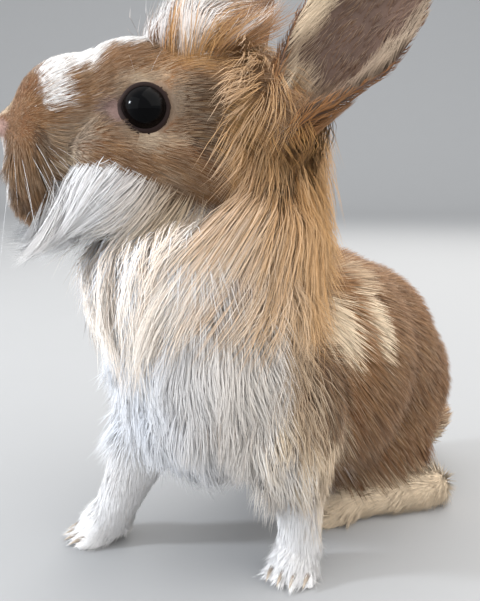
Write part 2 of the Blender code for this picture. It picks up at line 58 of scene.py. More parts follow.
# Places below are in millimetres from the floor point midway between the forefeet, as in the
# part's source: +X is the rabbit's left, -Y its front. EYE_SPOT is the left eye in that frame.
EYE_SPOT = np.array((-7.355, -21.577, 171.5))
SIDES = {"left": 1, "right": -1}

HEAD_AT = np.array((-20.0, -8.0, 168.0))
HEAD_TURN = math.radians(-33)
EYE_AT = (18, 4.5, 3.5)
EYE_RADIUS = 8.4
EYE_TURN = math.radians(78)
EYE_OPENING = math.radians(55)

TRUNK = (
    ((-5, 9, 91), (38, 37, 55)),
    ((-2, 62, 72), (45, 54, 50)),
    ((-5, 96, 66), (41, 48, 46)),
    ((-6, 116, 52), (40, 40, 42)),
    ((-8, 16, 130), (38, 33, 28)),
    ((-12, -2, 110), (34, 29, 38)),
    ((26, 18, 64), (18, 24, 32)),
    ((-26, 18, 64), (18, 24, 32)),
)
NECK = (((-4, 26, 118), 30), ((-1, 22, 158), 25))
FORELEGS = {
    "left": (((27, 20, 62), 13), ((26, 21, 36), 10.5), ((26, 22, 14), 9)),
    "right": (((-26, 0, 62), 13.5), ((-34, -4, 40), 11.5), ((-46, -8, 15), 9.5)),
}
FOREPAWS = {
    "left": ((25, 21.5, 6.5), math.radians(20)),
    "right": ((-51.5, -10, 6.5), math.radians(-34)),
}
HIND_AT = np.array((-8.0, 105.0, 0.0))
HIND_TURN = math.radians(-20)
HAUNCH = ((22, -4, 44), (21, 38, 41))
HIND_HEEL = (35, 20, 8)
HIND_BALL = (28, -24, 7)
TAIL = ((-9, 50, 23), (11, 13, 12))

HEAD_FORMS = (
    ((0, -15, 5.5), (26, 32, 27)),
    ((0, 5, 5.5), (21, 26, 23.8)),
    ((0, 24, 3.5), (14, 24, 20)),
    ((0, 37, -6), (15, 15, 19)),
    ((0, 49, -2), (6, 5, 7)),
    ((0, 33, -26), (11, 15, 11)),
    ((0, 4, -20), (17, 30, 16)),
)
HEAD_PAIRS = (
    ((13, 3, -13), (14, 28, 20)),
    ((15, -16, -12), (15, 19, 21)),
    ((8, 40, -13), (9, 11, 13)),
    ((14, 4, 4), (9, 13, 12)),
    ((17, -34, 4), (11, 14, 15)),
)
EARS = {
    "left": {"root": (21, -44, 0), "tip": (25, -92, 60), "faces": (0.86, 0.45, 0.2)},
    "right": {"root": (-18, -38, 12), "tip": (-26, -50, 88), "faces": (-0.72, 0.69, 0)},
}
EAR_LENGTH = 78
EAR_WIDTH = 36
EAR_WALL = 1.7

# Folds of the face: their lines on the head, widths and depths.
FACE_FOLDS = (
    (((0, 52.5, -15), (5, 50, -19), (9, 45, -21), (12, 39, -20)), 1.1, 2),
    (((0, 54.5, -6), (0, 52.5, -15)), 0.9, 1.8),
    (((1.8, 54, -4.4), (3.6, 53, -1.6), (5, 51.4, -1)), 0.8, 2.2),
    (((17, 38, -8), (15.5, 39, -15), (13, 38, -23)), 2.2, 1.4),
    (((29, -9, -5), (30, -16, -8), (28, -22, -12)), 2, 1.8),
)

# How far the skin lies inside the solids' own forms, under the coat.
UNDER_COAT = {"trunk": 4, "haunch": 4.5, "neck": 4, "leg": 2, "paw": 1.2, "foot": 1.6, "head": 1.3, "tail": 5}

# The photograph's view: place in millimetres, turn to the rabbit's left, dip, and focal length in pixels.
CAMERA_AT = (198, -202.9, 154.8)
CAMERA_TURN = math.radians(42)
CAMERA_DIP = math.radians(10)
FOCAL_PIXELS = 800
PICTURE_HEIGHT = 601

FLESH = ["head", "neck", "torso", "tail"] + [
    f"{part}_{side}"
    for part in ("ear", "foreleg", "forepaw", "hindleg", "hindfoot")
    for side in SIDES
]
# Triangles of one piece of the coat.
MOST_TRIANGLES = 190_000
# How deep in the skin a hair starts.
ROOT_DEPTH = 0.5
# Painted shade: how much darker the skin is painted beside its coat, as if in the shadow of its hairs.
PAINTED_SKIN_SHADE = 0.86
# The places on the skin that all the hairs are drawn from.
POOL_SIZE = 620_000
FAR = 1e9
shared = {}


def srgb(red, green, blue):
    """A colour given in screen values from 0 to 255, as linear light."""
    values = np.array((red, green, blue)) / 255
    return tuple(float(v) for v in np.where(values < 0.04045, values / 12.92, ((values + 0.055) / 1.055) ** 2.4))


def hair_colour(label, red, green, blue):
    return FloatVectorProperty(
        name=label, description=f"Colour of the {label.lower()} hair", subtype="COLOR",
        size=3, min=0, max=1, default=srgb(red, green, blue),
    )


def hair_length(label, millimetres):
    return FloatProperty(
        name=label, description=f"Length of the hair of the {label.lower()}", unit="LENGTH",
        min=0.001, max=0.08, default=millimetres * MM,
    )


class RabbitLooks(bpy.types.PropertyGroup):
    """Sizes and colours of the rabbit's coat"""

    white: hair_colour("White", 249, 247, 246)
    # Cool white of painted shade, laid on the shaded side of the chest.
    painted_shade_white: hair_colour("Cool white", 236, 240, 248)
    cream: hair_colour("Cream", 236, 214, 184)
    gold: hair_colour("Gold", 196, 148, 90)
    orange: hair_colour("Orange", 156, 108, 64)
    brown: hair_colour("Brown", 122, 87, 57)
    chestnut: hair_colour("Chestnut", 116, 75, 43)
    dark: hair_colour("Dark", 66, 46, 32)
    grey: hair_colour("Grey", 142, 124, 106)
    pink: hair_colour("Pink", 180, 146, 136)
    ear_skin: hair_colour("Ear skin", 88, 66, 54)
    bare_skin: hair_colour("Bare skin", 124, 100, 94)
    face_length: hair_length("Face", 6)
    mane_length: hair_length("Mane", 50)
    chest_length: hair_length("Chest", 22)
    back_length: hair_length("Back", 12)
    leg_length: hair_length("Legs", 7)
    voxel: FloatProperty(
        name="Skin detail", description="Size of the skin's faces", unit="LENGTH",
        min=0.0008, max=0.004, default=1.32 * MM,
    )
    seed: IntProperty(name="Seed", description="Seed of the coat's spread", default=7)


def looks():
    return bpy.context.scene.rabbit_looks


def tone_of(name):
    return np.array(getattr(looks(), name))


def millimetres(length):
    return length / MM


def turn(angle):
    """Rotation about Z as a 3 by 3 array, for column vectors."""
    return np.array(Matrix.Rotation(angle, 3, "Z"))


HEAD_ROTATION = turn(HEAD_TURN)
HIND_ROTATION = turn(HIND_TURN)


def into_head(points):
    """Body places as (side, ahead, up) from the middle of the skull."""
    return ((points - HEAD_AT) @ HEAD_ROTATION) * (1, -1, 1)


def out_of_head(places):
    return np.asarray(places, float) * (1, -1, 1) @ HEAD_ROTATION.T + HEAD_AT


def way_out_of_head(ways):
    return np.asarray(ways, float) * (1, -1, 1) @ HEAD_ROTATION.T


def head_matrix():
    return Matrix.Translation(HEAD_AT) @ Matrix.Rotation(HEAD_TURN, 4, "Z")


def hind_matrix():
    return Matrix.Translation(HIND_AT) @ Matrix.Rotation(HIND_TURN, 4, "Z")


def paw_matrix(side):
    place, angle = FOREPAWS[side]
    return Matrix.Translation(place) @ Matrix.Rotation(angle, 4, "Z")


def foot_matrix(side):
    sign = SIDES[side]
    heel, ball = (Vector((x * sign, y, z)) for x, y, z in (HIND_HEEL, HIND_BALL))
    along = heel - ball
    return hind_matrix() @ Matrix.Translation(ball) @ Matrix.Rotation(math.atan2(-along.x, along.y), 4, "Z")


def ear_matrix(side):
    """Up the ear is +Z, and its cup opens towards -Y."""
    spec = EARS[side]
    root, tip, faces = (Vector((s, -a, u)) for s, a, u in (spec["root"], spec["tip"], spec["faces"]))
    up = (tip - root).normalized()
    back = -(faces - faces.dot(up) * up).normalized()
    axes = Matrix((back.cross(up), back, up)).transposed().to_4x4()
    return head_matrix() @ Matrix.Translation(root) @ axes


def eye_matrix(side):
    """At the eyeball's middle; -Y looks out of the eye."""
    sign = SIDES[side]
    place, ahead, up = EYE_AT
    middle = Matrix.Translation((place * sign, -ahead, up))
    return head_matrix() @ middle @ Matrix.Rotation(sign * EYE_TURN, 4, "Z")


def moved(matrix, points):
    array = np.array(matrix)
    return np.asarray(points, float) @ array[:3, :3].T + array[:3, 3]


def folded(places):
    """Places of both sides as if all were on the left."""
    return np.concatenate((np.abs(places[:, :1]), places[:, 1:]), 1)


def unit(vectors):
    return vectors / np.maximum(np.linalg.norm(vectors, axis=-1, keepdims=True), 1e-9)


def soft(low, high, values):
    """0 at low, 1 at high and smooth between."""
    share = np.clip((values - low) / (high - low), 0, 1)
    return share * share * (3 - 2 * share)


def ripple(points, size, seed):
    """Smooth uneven waves about size millimetres long, from -1 to 1."""
    dice = np.random.default_rng(seed)
    total = 0
    for _ in range(6):
        wave = unit(dice.normal(size=3)) * 2 * math.pi / size * dice.uniform(0.6, 1.7)
        total = total + np.sin(points @ wave + dice.uniform(0, 2 * math.pi))
    return np.clip(total / 2.6, -1, 1)


def mixed(first, second, share):
    share = np.asarray(share)
    return first + (np.asarray(second) - first) * (share[..., None] if share.ndim else share)


# ---- Pieces ----


def finished(obj, material, replaced=()):
    """Sets a piece on its body, its material and the solids it stands for."""
    if material:
        obj.data.materials.append(material)
    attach(obj, "root")
    if replaced:
        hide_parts(*replaced)
    return obj


def added(name, data):
    """A new object in the scene."""
    obj = bpy.data.objects.new(name, data)
    bpy.context.scene.collection.objects.link(obj)
    return obj


def solid(name, points, triangles, colours=None, uvs=None, normals=None):
    """A new mesh object from places in millimetres, triangles and a colour and UV a point."""
    mesh = bpy.data.meshes.new(name)
    mesh.vertices.add(len(points))
    placed = np.asarray(points) * MM + shared["shift"]
    mesh.vertices.foreach_set("co", placed.astype(np.float32).ravel())
    mesh.loops.add(triangles.size)
    mesh.loops.foreach_set("vertex_index", triangles.astype(np.int32).ravel())
    mesh.polygons.add(len(triangles))
    mesh.polygons.foreach_set("loop_start", np.arange(0, triangles.size, 3, dtype=np.int32))
    mesh.update(calc_edges=True)
    mesh.shade_smooth()
    if colours is not None:
        paint_points(mesh, colours)
    if uvs is not None:
        layer = mesh.uv_layers.new(name="OFBake")
        layer.uv.foreach_set("vector", uvs[triangles.ravel()].astype(np.float32).ravel())
    if normals is not None:
        mesh.normals_split_custom_set_from_vertices(normals.astype(np.float32))
    return added(name, mesh)


def paint_points(mesh, colours):
    layer = mesh.color_attributes.new("coat", "FLOAT_COLOR", "POINT")
    values = np.ones((len(colours), 4), np.float32)
    values[:, :3] = np.clip(colours, 0, 1)
    layer.data.foreach_set("color", values.ravel())


def shader(name, roughness, sheen=0.0, specular=0.18, fine=2600, depth=0.12, vary=0.16):
    """A material painted by the coat's colours, broken up by noise, with a fine bump."""
    made = bpy.data.materials.new(name)
    made.use_nodes = True
    nodes, links = made.node_tree.nodes, made.node_tree.links
    principled = nodes["Principled BSDF"]
    principled.inputs["Sheen Weight"].default_value = sheen
    principled.inputs["Specular IOR Level"].default_value = specular
    place = nodes.new("ShaderNodeTexCoord")
    colour = nodes.new("ShaderNodeAttribute")
    colour.attribute_name = "coat"
    noise = nodes.new("ShaderNodeTexNoise")
    noise.inputs["Scale"].default_value = fine / 3
    noise.inputs["Detail"].default_value = 3
    spread = nodes.new("ShaderNodeMapRange")
    spread.inputs["To Min"].default_value = 1 - vary
    spread.inputs["To Max"].default_value = 1 + vary
    tint = nodes.new("ShaderNodeVectorMath")
    tint.operation = "SCALE"
    rough = nodes.new("ShaderNodeMapRange")
    rough.inputs["To Min"].default_value = roughness - 0.1
    rough.inputs["To Max"].default_value = roughness + 0.1
    grain = nodes.new("ShaderNodeTexNoise")
    grain.inputs["Scale"].default_value = fine
    bump = nodes.new("ShaderNodeBump")
    bump.inputs["Strength"].default_value = 0.6
    bump.inputs["Distance"].default_value = depth * MM
    links.new(place.outputs["Object"], noise.inputs["Vector"])
    links.new(place.outputs["Object"], grain.inputs["Vector"])
    links.new(noise.outputs["Fac"], spread.inputs["Value"])
    links.new(colour.outputs["Color"], tint.inputs[0])
    links.new(spread.outputs["Result"], tint.inputs["Scale"])
    links.new(tint.outputs["Vector"], principled.inputs["Base Color"])
    links.new(noise.outputs["Fac"], rough.inputs["Value"])
    links.new(rough.outputs["Result"], principled.inputs["Roughness"])
    links.new(grain.outputs["Fac"], bump.inputs["Height"])
    links.new(bump.outputs["Normal"], principled.inputs["Normal"])
    return made


# ---- Markings ----

# Patches of colour on the head: (side, ahead, up) of the middle, half sizes, colour, strength.
# They lie on both sides alike, and later ones cover earlier ones.
HEAD_PATCHES = (
    ((0, -30, 20), (40, 26, 40), "orange", 0.6),
    ((14, 46, -8), (14, 12, 14), "brown", 0.9),
    ((22, -2, 18), (10, 9, 9), "orange", 0.7),
    ((25, -24, 8), (10, 12, 18), "brown", 0.7),
    ((25, -21, -2), (9, 5, 19), "gold", 1),
    ((22, -10, 24), (12, 8, 8), "gold", 0.6),
    ((15, 28, -6), (8, 9, 8.5), "grey", 0.9),
    ((16, 33, -14), (5, 5, 5), "cream", 0.6),
    ((15, 39, -12), (5, 3, 10), "dark", 0.75),
    ((12, 43, 0), (3, 2.5, 6), "chestnut", 0.6),
    ((22, 14, -9.5), (14, 12, 3), "chestnut", 0.7),
    ((24, 2, -14), (12, 12, 4), "brown", 0.7),
    ((17, 6, 3), (14, 14, 12.5), "grey", 0.75),
    ((22, 3, -6.5), (10, 10, 2.2), "cream", 0.35),
    ((19, 4, 14), (10, 9, 2.2), "cream", 0.3),
    ((26, -9, 6), (6, 5, 13), "dark", 0.55),
    ((25, -6, 8), (6, 2.4, 9), "grey", 0.7),
    ((26, -12, 2), (7, 5, 17), "dark", 0.65),
    ((29, -12, -7), (5, 5, 1.8), "dark", 0.95),
    ((26, 2, -24), (8, 7, 8), "grey", 0.7),
    ((26, -4, -20), (8, 6, 8), "brown", 0.6),
    ((17, 17.5, 2.5), (7, 6, 5.2), "bare_skin", 0.9),
    ((17, 15, 2), (5, 2.5, 2.2), "pink", 0.05),
    ((18, 20.5, -1.5), (6, 2, 1.6), "dark", 0.8),
    ((12, 14, 20), (3, 8, 3), "chestnut", 0.7),
    ((0, 34, 10), (13, 5, 13), "white", 1),
    ((0, 25, 18), (9.5, 10, 8), "white", 1),
    ((0, 11, 27), (9, 13, 6), "white", 1),
    ((9, -5, 31), (8, 7, 8), "white", 0.85),
    ((16, -10, 26), (4, 5, 6), "white", 0.7),
    ((3, 52, 4), (6, 4, 3), "cream", 0.6),
    ((2, 53, -12), (6, 4.5, 7), "white", 0.95),
    ((3, 53, -3), (5.5, 4, 4), "pink", 0.7),
    ((18, 22, -23), (14, 12, 9.5), "white", 1),
    ((0, 14, -42), (20, 26, 16), "white", 1),
    ((24, -34, -16), (4, 4, 4), "pink", 0.8),
)
# Patches of the body, in its own frame.
BODY_PATCHES = (
    ((-5, 40, 130), (70, 30, 60), "orange", 0.6),
    ((30, 12, 140), (24, 24, 34), "orange", 0.95),
    ((-40, 12, 140), (24, 24, 34), "orange", 0.95),
    ((40, 14, 112), (16, 20, 24), "gold", 0.8),
    ((-50, 14, 112), (16, 20, 24), "gold", 0.8),
    ((40, 0, 62), (16, 22, 34), "cream", 0.9),
    ((-50, 0, 62), (16, 22, 34), "cream", 0.9),
    ((43, 12, 78), (16, 14, 20), "brown", 0.9),
    ((38, 20, 80), (18, 12, 18), "dark", 0.6),
    ((32, 38, 99), (18, 8, 15), "cream", 1),
    ((36, 56, 96), (18, 5, 15), "cream", 1),
    ((30, 60, 112), (18, 8, 8), "cream", 0.5),
    ((-44, 46, 100), (18, 7, 16), "cream", 0.8),
    ((-46, 60, 92), (18, 5, 12), "cream", 0.8),
    ((38, 100, 62), (14, 30, 20), "brown", 0.4),
    ((-6, 100, -4), (90, 100, 27), "cream", 0.95),
    ((-8, -22, 104), (30, 26, 62), "white", 1),
    ((-6, -6, 46), (44, 26, 44), "white", 1),
    ((28, -14, 88), (17, 20, 24), "white", 1),
    ((-40, -14, 88), (17, 20, 24), "white", 1),
    ((-8, 4, 8), (80, 46, 44), "white", 1),
    ((34, 30, 40), (12, 12, 24), "cream", 0.7),
)


def cover(colour, at, patches, seed):
    """Lays soft-edged patches over a base colour."""
    wobble = ripple(at, 9, seed) * 0.16 + ripple(at, 3.5, seed + 1) * 0.07
    for middle, sizes, name, strength in patches:
        away = np.linalg.norm((at - middle) / np.array(sizes, float), axis=1) + wobble
        colour = mixed(colour, tone_of(name), strength * soft(1.18, 0.82, away))
    return colour


def markings(points, headward):
    """The coat's colour at places on the skin; headward is 1 on the head and 0 on the body."""
    places = folded(into_head(points))
    face = mixed(tone_of("brown"), tone_of("chestnut"), 0.5 + 0.5 * ripple(points, 14, 3))
    face = cover(face, places, HEAD_PATCHES, 21)
    trunk = mixed(tone_of("chestnut"), tone_of("brown"), 0.5 + 0.5 * ripple(points, 22, 4))
    trunk = cover(trunk, points, BODY_PATCHES, 31)
    return mixed(trunk, face, headward)


# ---- Skin ----


def ball(bm, middle, radii, matrix=None, rounds=(28, 18)):
    placed = (matrix or Matrix()) @ Matrix.LocRotScale(Vector(middle), None, Vector(radii))
    bmesh.ops.create_uvsphere(bm, u_segments=rounds[0], v_segments=rounds[1], radius=1, matrix=placed)


def limb(bm, stations, thinner, steps=10):
    for (start, r0), (end, r1) in zip(stations, stations[1:]):
        for step in range(steps + 1):
            share = step / steps
            radius = r0 + (r1 - r0) * share - thinner
            ball(bm, Vector(start).lerp(Vector(end), share), (radius,) * 3, rounds=(16, 12))


def less(radii, by):
    return tuple(radius - by for radius in radii)


def toes(bm, matrix, pitch, reach, radii):
    for toe in range(4):
        off = toe - 1.5
        place = (pitch * off, -reach + 1.6 * abs(off), radii[2] - 9)
        turned = Matrix.Translation(place) @ Matrix.Rotation(0.12 * off, 4, "Z")
        ball(bm, (0, 0, 0), radii, matrix @ turned, (16, 12))


def flesh_forms():
    """All the skin's overlapping forms, a coat's depth inside the solids."""
    bm = bmesh.new()
    for middle, radii in TRUNK:
        ball(bm, middle, less(radii, UNDER_COAT["trunk"]))
    limb(bm, NECK, UNDER_COAT["neck"])
    for middle, radii in HEAD_FORMS:
        ball(bm, (middle[0], -middle[1], middle[2]), less(radii, UNDER_COAT["head"]), head_matrix())
    ball(bm, TAIL[0], less(TAIL[1], UNDER_COAT["tail"]), hind_matrix())
    for side, sign in SIDES.items():
        for middle, radii in HEAD_PAIRS:
            place = (middle[0] * sign, -middle[1], middle[2])
            ball(bm, place, less(radii, UNDER_COAT["head"]), head_matrix())
        (x, y, z), radii = HAUNCH
        ball(bm, (x * sign, y, z), less(radii, UNDER_COAT["haunch"]), hind_matrix())
        limb(bm, FORELEGS[side], UNDER_COAT["leg"])
        paw = UNDER_COAT["paw"]
        ball(bm, (0, 1, 1.5), less((9.5, 12, 8.5), paw), paw_matrix(side))
        toes(bm, paw_matrix(side), 4.7, 8, less((2.9, 7, 4.6), 0.5))
        foot = UNDER_COAT["foot"]
        length = (Vector(HIND_HEEL) - Vector(HIND_BALL)).length
        for step in range(9):
            share = step / 8
            radii = less((10, 10, 8.5 + 1.5 * share), foot)
            ball(bm, (0, length * share, 0), radii, foot_matrix(side), (16, 12))
        toes(bm, foot_matrix(side), 5, 9, less((3.2, 9, 5.2), 0.6))
    return bm


def melted(bm, voxel, rounds):
    """One closed skin over overlapping forms, as places and quads in millimetres."""
    mesh = bpy.data.meshes.new("forms")
    bm.to_mesh(mesh)
    bm.free()
    obj = added("forms", mesh)
    remesh = obj.modifiers.new("melt", "REMESH")
    remesh.mode = "VOXEL"
    remesh.voxel_size = voxel
    smooth = obj.modifiers.new("soften", "SMOOTH")
    smooth.iterations = rounds
    bpy.context.view_layer.update()
    evaluated = obj.evaluated_get(bpy.context.evaluated_depsgraph_get())
    made = bpy.data.meshes.new_from_object(evaluated)
    bpy.data.objects.remove(obj)
    return made


def open_eyes(points):
    """Sinks the skin behind each eyeball where the lids are open."""
    for side in SIDES:
        matrix = eye_matrix(side)
        local = moved(matrix.inverted(), points)
        away = np.linalg.norm(local, axis=1)
        off_axis = np.arccos(np.clip(-local[:, 1] / np.maximum(away, 1e-6), -1, 1))
        near = away < EYE_RADIUS + 9
        kept = soft(EYE_OPENING, EYE_OPENING + math.radians(24), off_axis)
        sunk = np.minimum(away, EYE_RADIUS - 1)
        wanted = sunk + (away - sunk) * kept
        scale = np.where(near, wanted / np.maximum(away, 1e-6), 1)
        points = moved(matrix, local * scale[:, None])
    return points


def to_segment(points, start, end):
    """How far along a segment the nearest place of it is, from 0 to 1, and how far away."""
    start, end = np.array(start, float), np.array(end, float)
    share = np.clip((points - start) @ (end - start) / ((end - start) @ (end - start)), 0, 1)
    return share, np.linalg.norm(points - start - share[:, None] * (end - start), axis=1)


def groove(places, line, width, depth):
    """Depth to push places in along a line of points on the head, both sides alike."""
    best = np.full(len(places), FAR)
    for start, end in zip(line, line[1:]):
        best = np.minimum(best, to_segment(folded(places), start, end)[1])
    return depth * np.exp(-((best / width) ** 2))


def fold_face(points, normals):
    """Presses the mouth, the nostrils, the lip's cleft and the folds into the head's skin."""
    places = into_head(points)
    push = sum(groove(places, *fold) for fold in FACE_FOLDS)
    return points - normals * push[:, None]


def ear_point(share, across):
    """A place on the middle sheet of the ear, and the way out of its back, in its own frame."""
    spread = np.sin(math.pi / 2 * np.minimum(1, share / 0.5)) ** 0.8
    close = np.maximum(0, (share - 0.5) / 0.5)
    width = EAR_WIDTH * 1.2 * (0.62 + 0.38 * spread) * np.sqrt(np.maximum(0.004, 1 - close**2.6))
    half_angle = np.radians(150 - 95 * np.minimum(1, share * 1.9))
    radius = width / (2 * half_angle)
    angle = half_angle * across
    height = EAR_LENGTH * (share - 0.12)
    place = np.stack((radius * np.sin(angle), radius * (np.cos(angle) - 1) + 4, height), -1)
    out = np.stack((np.sin(angle), np.cos(angle), np.zeros_like(angle)), -1)
    return place, out


def ear_shell(side, rows=44, columns=19):
    """A thin closed cup for one ear: places and quads."""
    share, across = np.meshgrid(np.linspace(0, 1, rows), np.linspace(-1, 1, columns), indexing="ij")
    place, out = ear_point(share, across)
    wall = EAR_WALL * (1 - 0.45 * share)[..., None] * (1 - 0.5 * np.abs(across) ** 4)[..., None]
    ring = np.concatenate((place + out * wall / 2, (place - out * wall / 2)[:, ::-1]), 1)
    around = ring.shape[1]
    ids = np.arange(rows * around).reshape(rows, around)
    low, high = ids[:-1], ids[1:]
    quads = np.stack((high, np.roll(high, -1, 1), np.roll(low, -1, 1), low), -1).reshape(-1, 4)
    ends = [list(ids[0]), list(ids[-1][::-1])]
    return moved(ear_matrix(side), ring.reshape(-1, 3)), quads, ends


def read(items, name, width, kind):
    """One value of every item of a mesh, as rows of that width."""
    values = np.empty(len(items) * width, kind)
    items.foreach_get(name, values)
    return values.reshape(-1, width)


def mesh_arrays(mesh):
    """The places and the normals of a mesh's points."""
    points, normals = (read(mesh.vertices, name, 3, np.float32) for name in ("co", "normal"))
    return points.astype(float), normals.astype(float)


def distance(at, forms):
    """Rough distance of places to the nearest of some ellipsoids; negative inside."""
    best = np.full(len(at), FAR)
    for middle, radii in forms:
        scaled = (at - np.array(middle, float)) / np.array(radii, float)
        size = np.linalg.norm(scaled, axis=1)
        slope = np.linalg.norm(scaled / np.array(radii, float), axis=1)
        best = np.minimum(best, size * (size - 1) / np.maximum(slope, 1e-9))
    return best


def line_distance(at, stations):
    best = np.full(len(at), FAR)
    for (start, r0), (end, r1) in zip(stations, stations[1:]):
        share, away = to_segment(at, start, end)
        best = np.minimum(best, away - r0 - (r1 - r0) * share)
    return best


def sort_places(points):
    """Distances of places to each part of the animal, in millimetres."""
    found = {"head": distance(folded(into_head(points)), HEAD_FORMS + HEAD_PAIRS)}
    found["body"] = np.minimum(distance(points, TRUNK), line_distance(points, NECK))
    hind = (points - HIND_AT) @ HIND_ROTATION
    found["tail"] = distance(hind, (TAIL,))
    found["haunch"] = distance(folded(hind), (HAUNCH,))
    found["leg"] = np.minimum(*(line_distance(points, FORELEGS[side]) for side in SIDES))
    for name, matrix, form in (
        ("paw", paw_matrix, ((0, -3, 1.5), (11, 15, 9))),
        ("foot", foot_matrix, ((0, 17, 1), (11, 39, 11))),
    ):
        found[name] = np.minimum(*(distance(moved(matrix(side).inverted(), points), (form,)) for side in SIDES))
    return found


def make_skin():
    """One skin for all the flesh, with thin cupped ears, in the coat's own markings painted darker as shade under the
    coat.
    """
    body = melted(flesh_forms(), millimetres(looks().voxel), 7)
    refine_face(body)
    points, normals = mesh_arrays(body)
    points = open_eyes(fold_face(points, normals))
    points[:, 2] = np.maximum(points[:, 2], 0.15)
    faces = [list(polygon.vertices) for polygon in body.polygons]
    ear_from = len(faces)
    for side in SIDES:
        start = len(points)
        places, quads, ends = ear_shell(side)
        points = np.concatenate((points, places))
        faces += (quads + start).tolist()
        faces += [[start + int(i) for i in end] for end in ends]
    mesh = bpy.data.meshes.new("skin")
    mesh.from_pydata((points * MM + shared["shift"]).tolist(), [], faces)
    mesh.shade_smooth()
    skin = added("skin", mesh)
    unwrap(skin)
    skin_markings(skin, ear_from)
    mesh.materials.append(shader("coat over skin", 0.8, sheen=0.1, fine=2200, depth=0.5, vary=0.22))
    mesh.materials.append(shader("ear skin", 0.55, specular=0.35, fine=1500, depth=0.15, vary=0.1))
    slots = np.zeros(len(mesh.polygons), np.int32)
    slots[ear_from:] = 1
    mesh.polygons.foreach_set("material_index", slots)
    finished(skin, None, FLESH)
    gather(skin, ear_from)


def refine_face(mesh):
    """Halves the faces of the muzzle, the lids and the cheeks, where the folds are fine."""
    bm = bmesh.new()
    bm.from_mesh(mesh)
    middles = np.array([face.calc_center_median() for face in bm.faces])
    places = into_head(middles)
    fine = (places[:, 1] > 22) & (places[:, 2] > -45)
    for side in SIDES:
        away = np.linalg.norm(moved(eye_matrix(side).inverted(), middles), axis=1)
        fine |= away < EYE_RADIUS + 7
    bm.faces.ensure_lookup_table()
    chosen = {edge for index in np.flatnonzero(fine) for edge in bm.faces[index].edges}
    bmesh.ops.subdivide_edges(bm, edges=list(chosen), cuts=1, use_grid_fill=True)
    bm.normal_update()
    bm.to_mesh(mesh)
    bm.free()
    mesh.update()


def unwrap(obj):
    """Unwraps the skin's own shape to the map that the coat's roots are placed on."""
    obj.data.uv_layers.new(name="OFBake")
    for other in bpy.context.selected_objects:
        other.select_set(False)
    bpy.context.view_layer.objects.active = obj
    obj.select_set(True)
    bpy.ops.object.mode_set(mode="EDIT")
    bpy.ops.mesh.select_all(action="SELECT")
    bpy.ops.uv.smart_project(angle_limit=math.radians(66), island_margin=0.002)
    bpy.ops.object.mode_set(mode="OBJECT")


def skin_markings(skin, ear_from):
    mesh = skin.data
    points, _ = mesh_arrays(mesh)
    points = (points - shared["shift"]) / MM
    found = sort_places(points)
    headward = soft(3, -3, found["head"] - found["body"])
    # The skin's markings are painted darker here, as shade under the coat.
    colours = markings(points, headward) * PAINTED_SKIN_SHADE
    in_ears = np.zeros(len(points), bool)
    for polygon in mesh.polygons[ear_from:]:
        in_ears[list(polygon.vertices)] = True
    for side in SIDES:
        local = moved(ear_matrix(side).inverted(), points[in_ears])
        share = local[:, 2] / EAR_LENGTH + 0.12
        tone = mixed(tone_of("ear_skin"), tone_of("dark"), 0.55 * soft(0.75, 1.05, share))
        mine = np.linalg.norm(local[:, :2], axis=1) < 40
        colours[np.flatnonzero(in_ears)[mine]] = tone[mine] * (1 + 0.12 * ripple(local[mine], 8, 5))[:, None]
    paint_points(mesh, colours)


def gather(skin, ear_from):
    """Keeps a pool of seeded places on the skin, for the coat to grow from."""
    mesh = skin.data
    mesh.calc_loop_triangles()
    corners, loops = (read(mesh.loop_triangles, name, 3, np.int32) for name in ("vertices", "loops"))
    owner = read(mesh.loop_triangles, "polygon_index", 1, np.int32)[:, 0]
    points, normals = mesh_arrays(mesh)
    points = (points - shared["shift"]) / MM
    uvs = read(mesh.uv_layers["OFBake"].uv, "vector", 2, np.float32)
    shared["tree"] = BVHTree.FromPolygons(points.tolist(), corners.tolist())
    dice = np.random.default_rng(looks().seed)
    a, b, c = (points[corners[:, i]] for i in range(3))
    areas = np.linalg.norm(np.cross(b - a, c - a), axis=1)
    chosen = dice.choice(len(corners), POOL_SIZE, p=areas / areas.sum())
    first, second = dice.random((2, len(chosen)))
    flip = first + second > 1
    first[flip], second[flip] = 1 - first[flip], 1 - second[flip]
    weights = np.stack((1 - first - second, first, second), 1)[..., None]
    pool = {
        "at": (points[corners[chosen]] * weights).sum(1),
        "out": unit((normals[corners[chosen]] * weights).sum(1)),
        "uv": (uvs[loops[chosen]] * weights).sum(1),
        "ear": owner[chosen] >= ear_from,
    }
    found = sort_places(pool["at"])
    pool["part"] = np.array(list(found))[np.argmin(np.stack(list(found.values())), 0)]
    pool["headward"] = soft(3, -3, found["head"] - found["body"])
    pool["free"] = np.ones(len(chosen), bool)
    shared["pool"] = pool


# ---- Coat ----


def picked(weights, count, dice):
    """Indices of about count places of the pool, spread by the weights."""
    weights = np.where(shared["pool"]["free"], weights, 0)
    count = min(count, int((weights > 0).sum()))
    chosen = dice.choice(len(weights), count, replace=False, p=weights / weights.sum())
    shared["pool"]["free"][chosen] = False
    return chosen


def nearest(points):
    found = [shared["tree"].find_nearest(point) for point in points.tolist()]
    return np.array([tuple(f[0]) for f in found]), np.array([tuple(f[1]) for f in found])


def flattened(ways, out, lean):
    """Ways laid on the skin, then leant off it."""
    along = unit(ways - (ways * out).sum(-1, keepdims=True) * out)
    return unit(along + out * np.asarray(lean)[..., None])


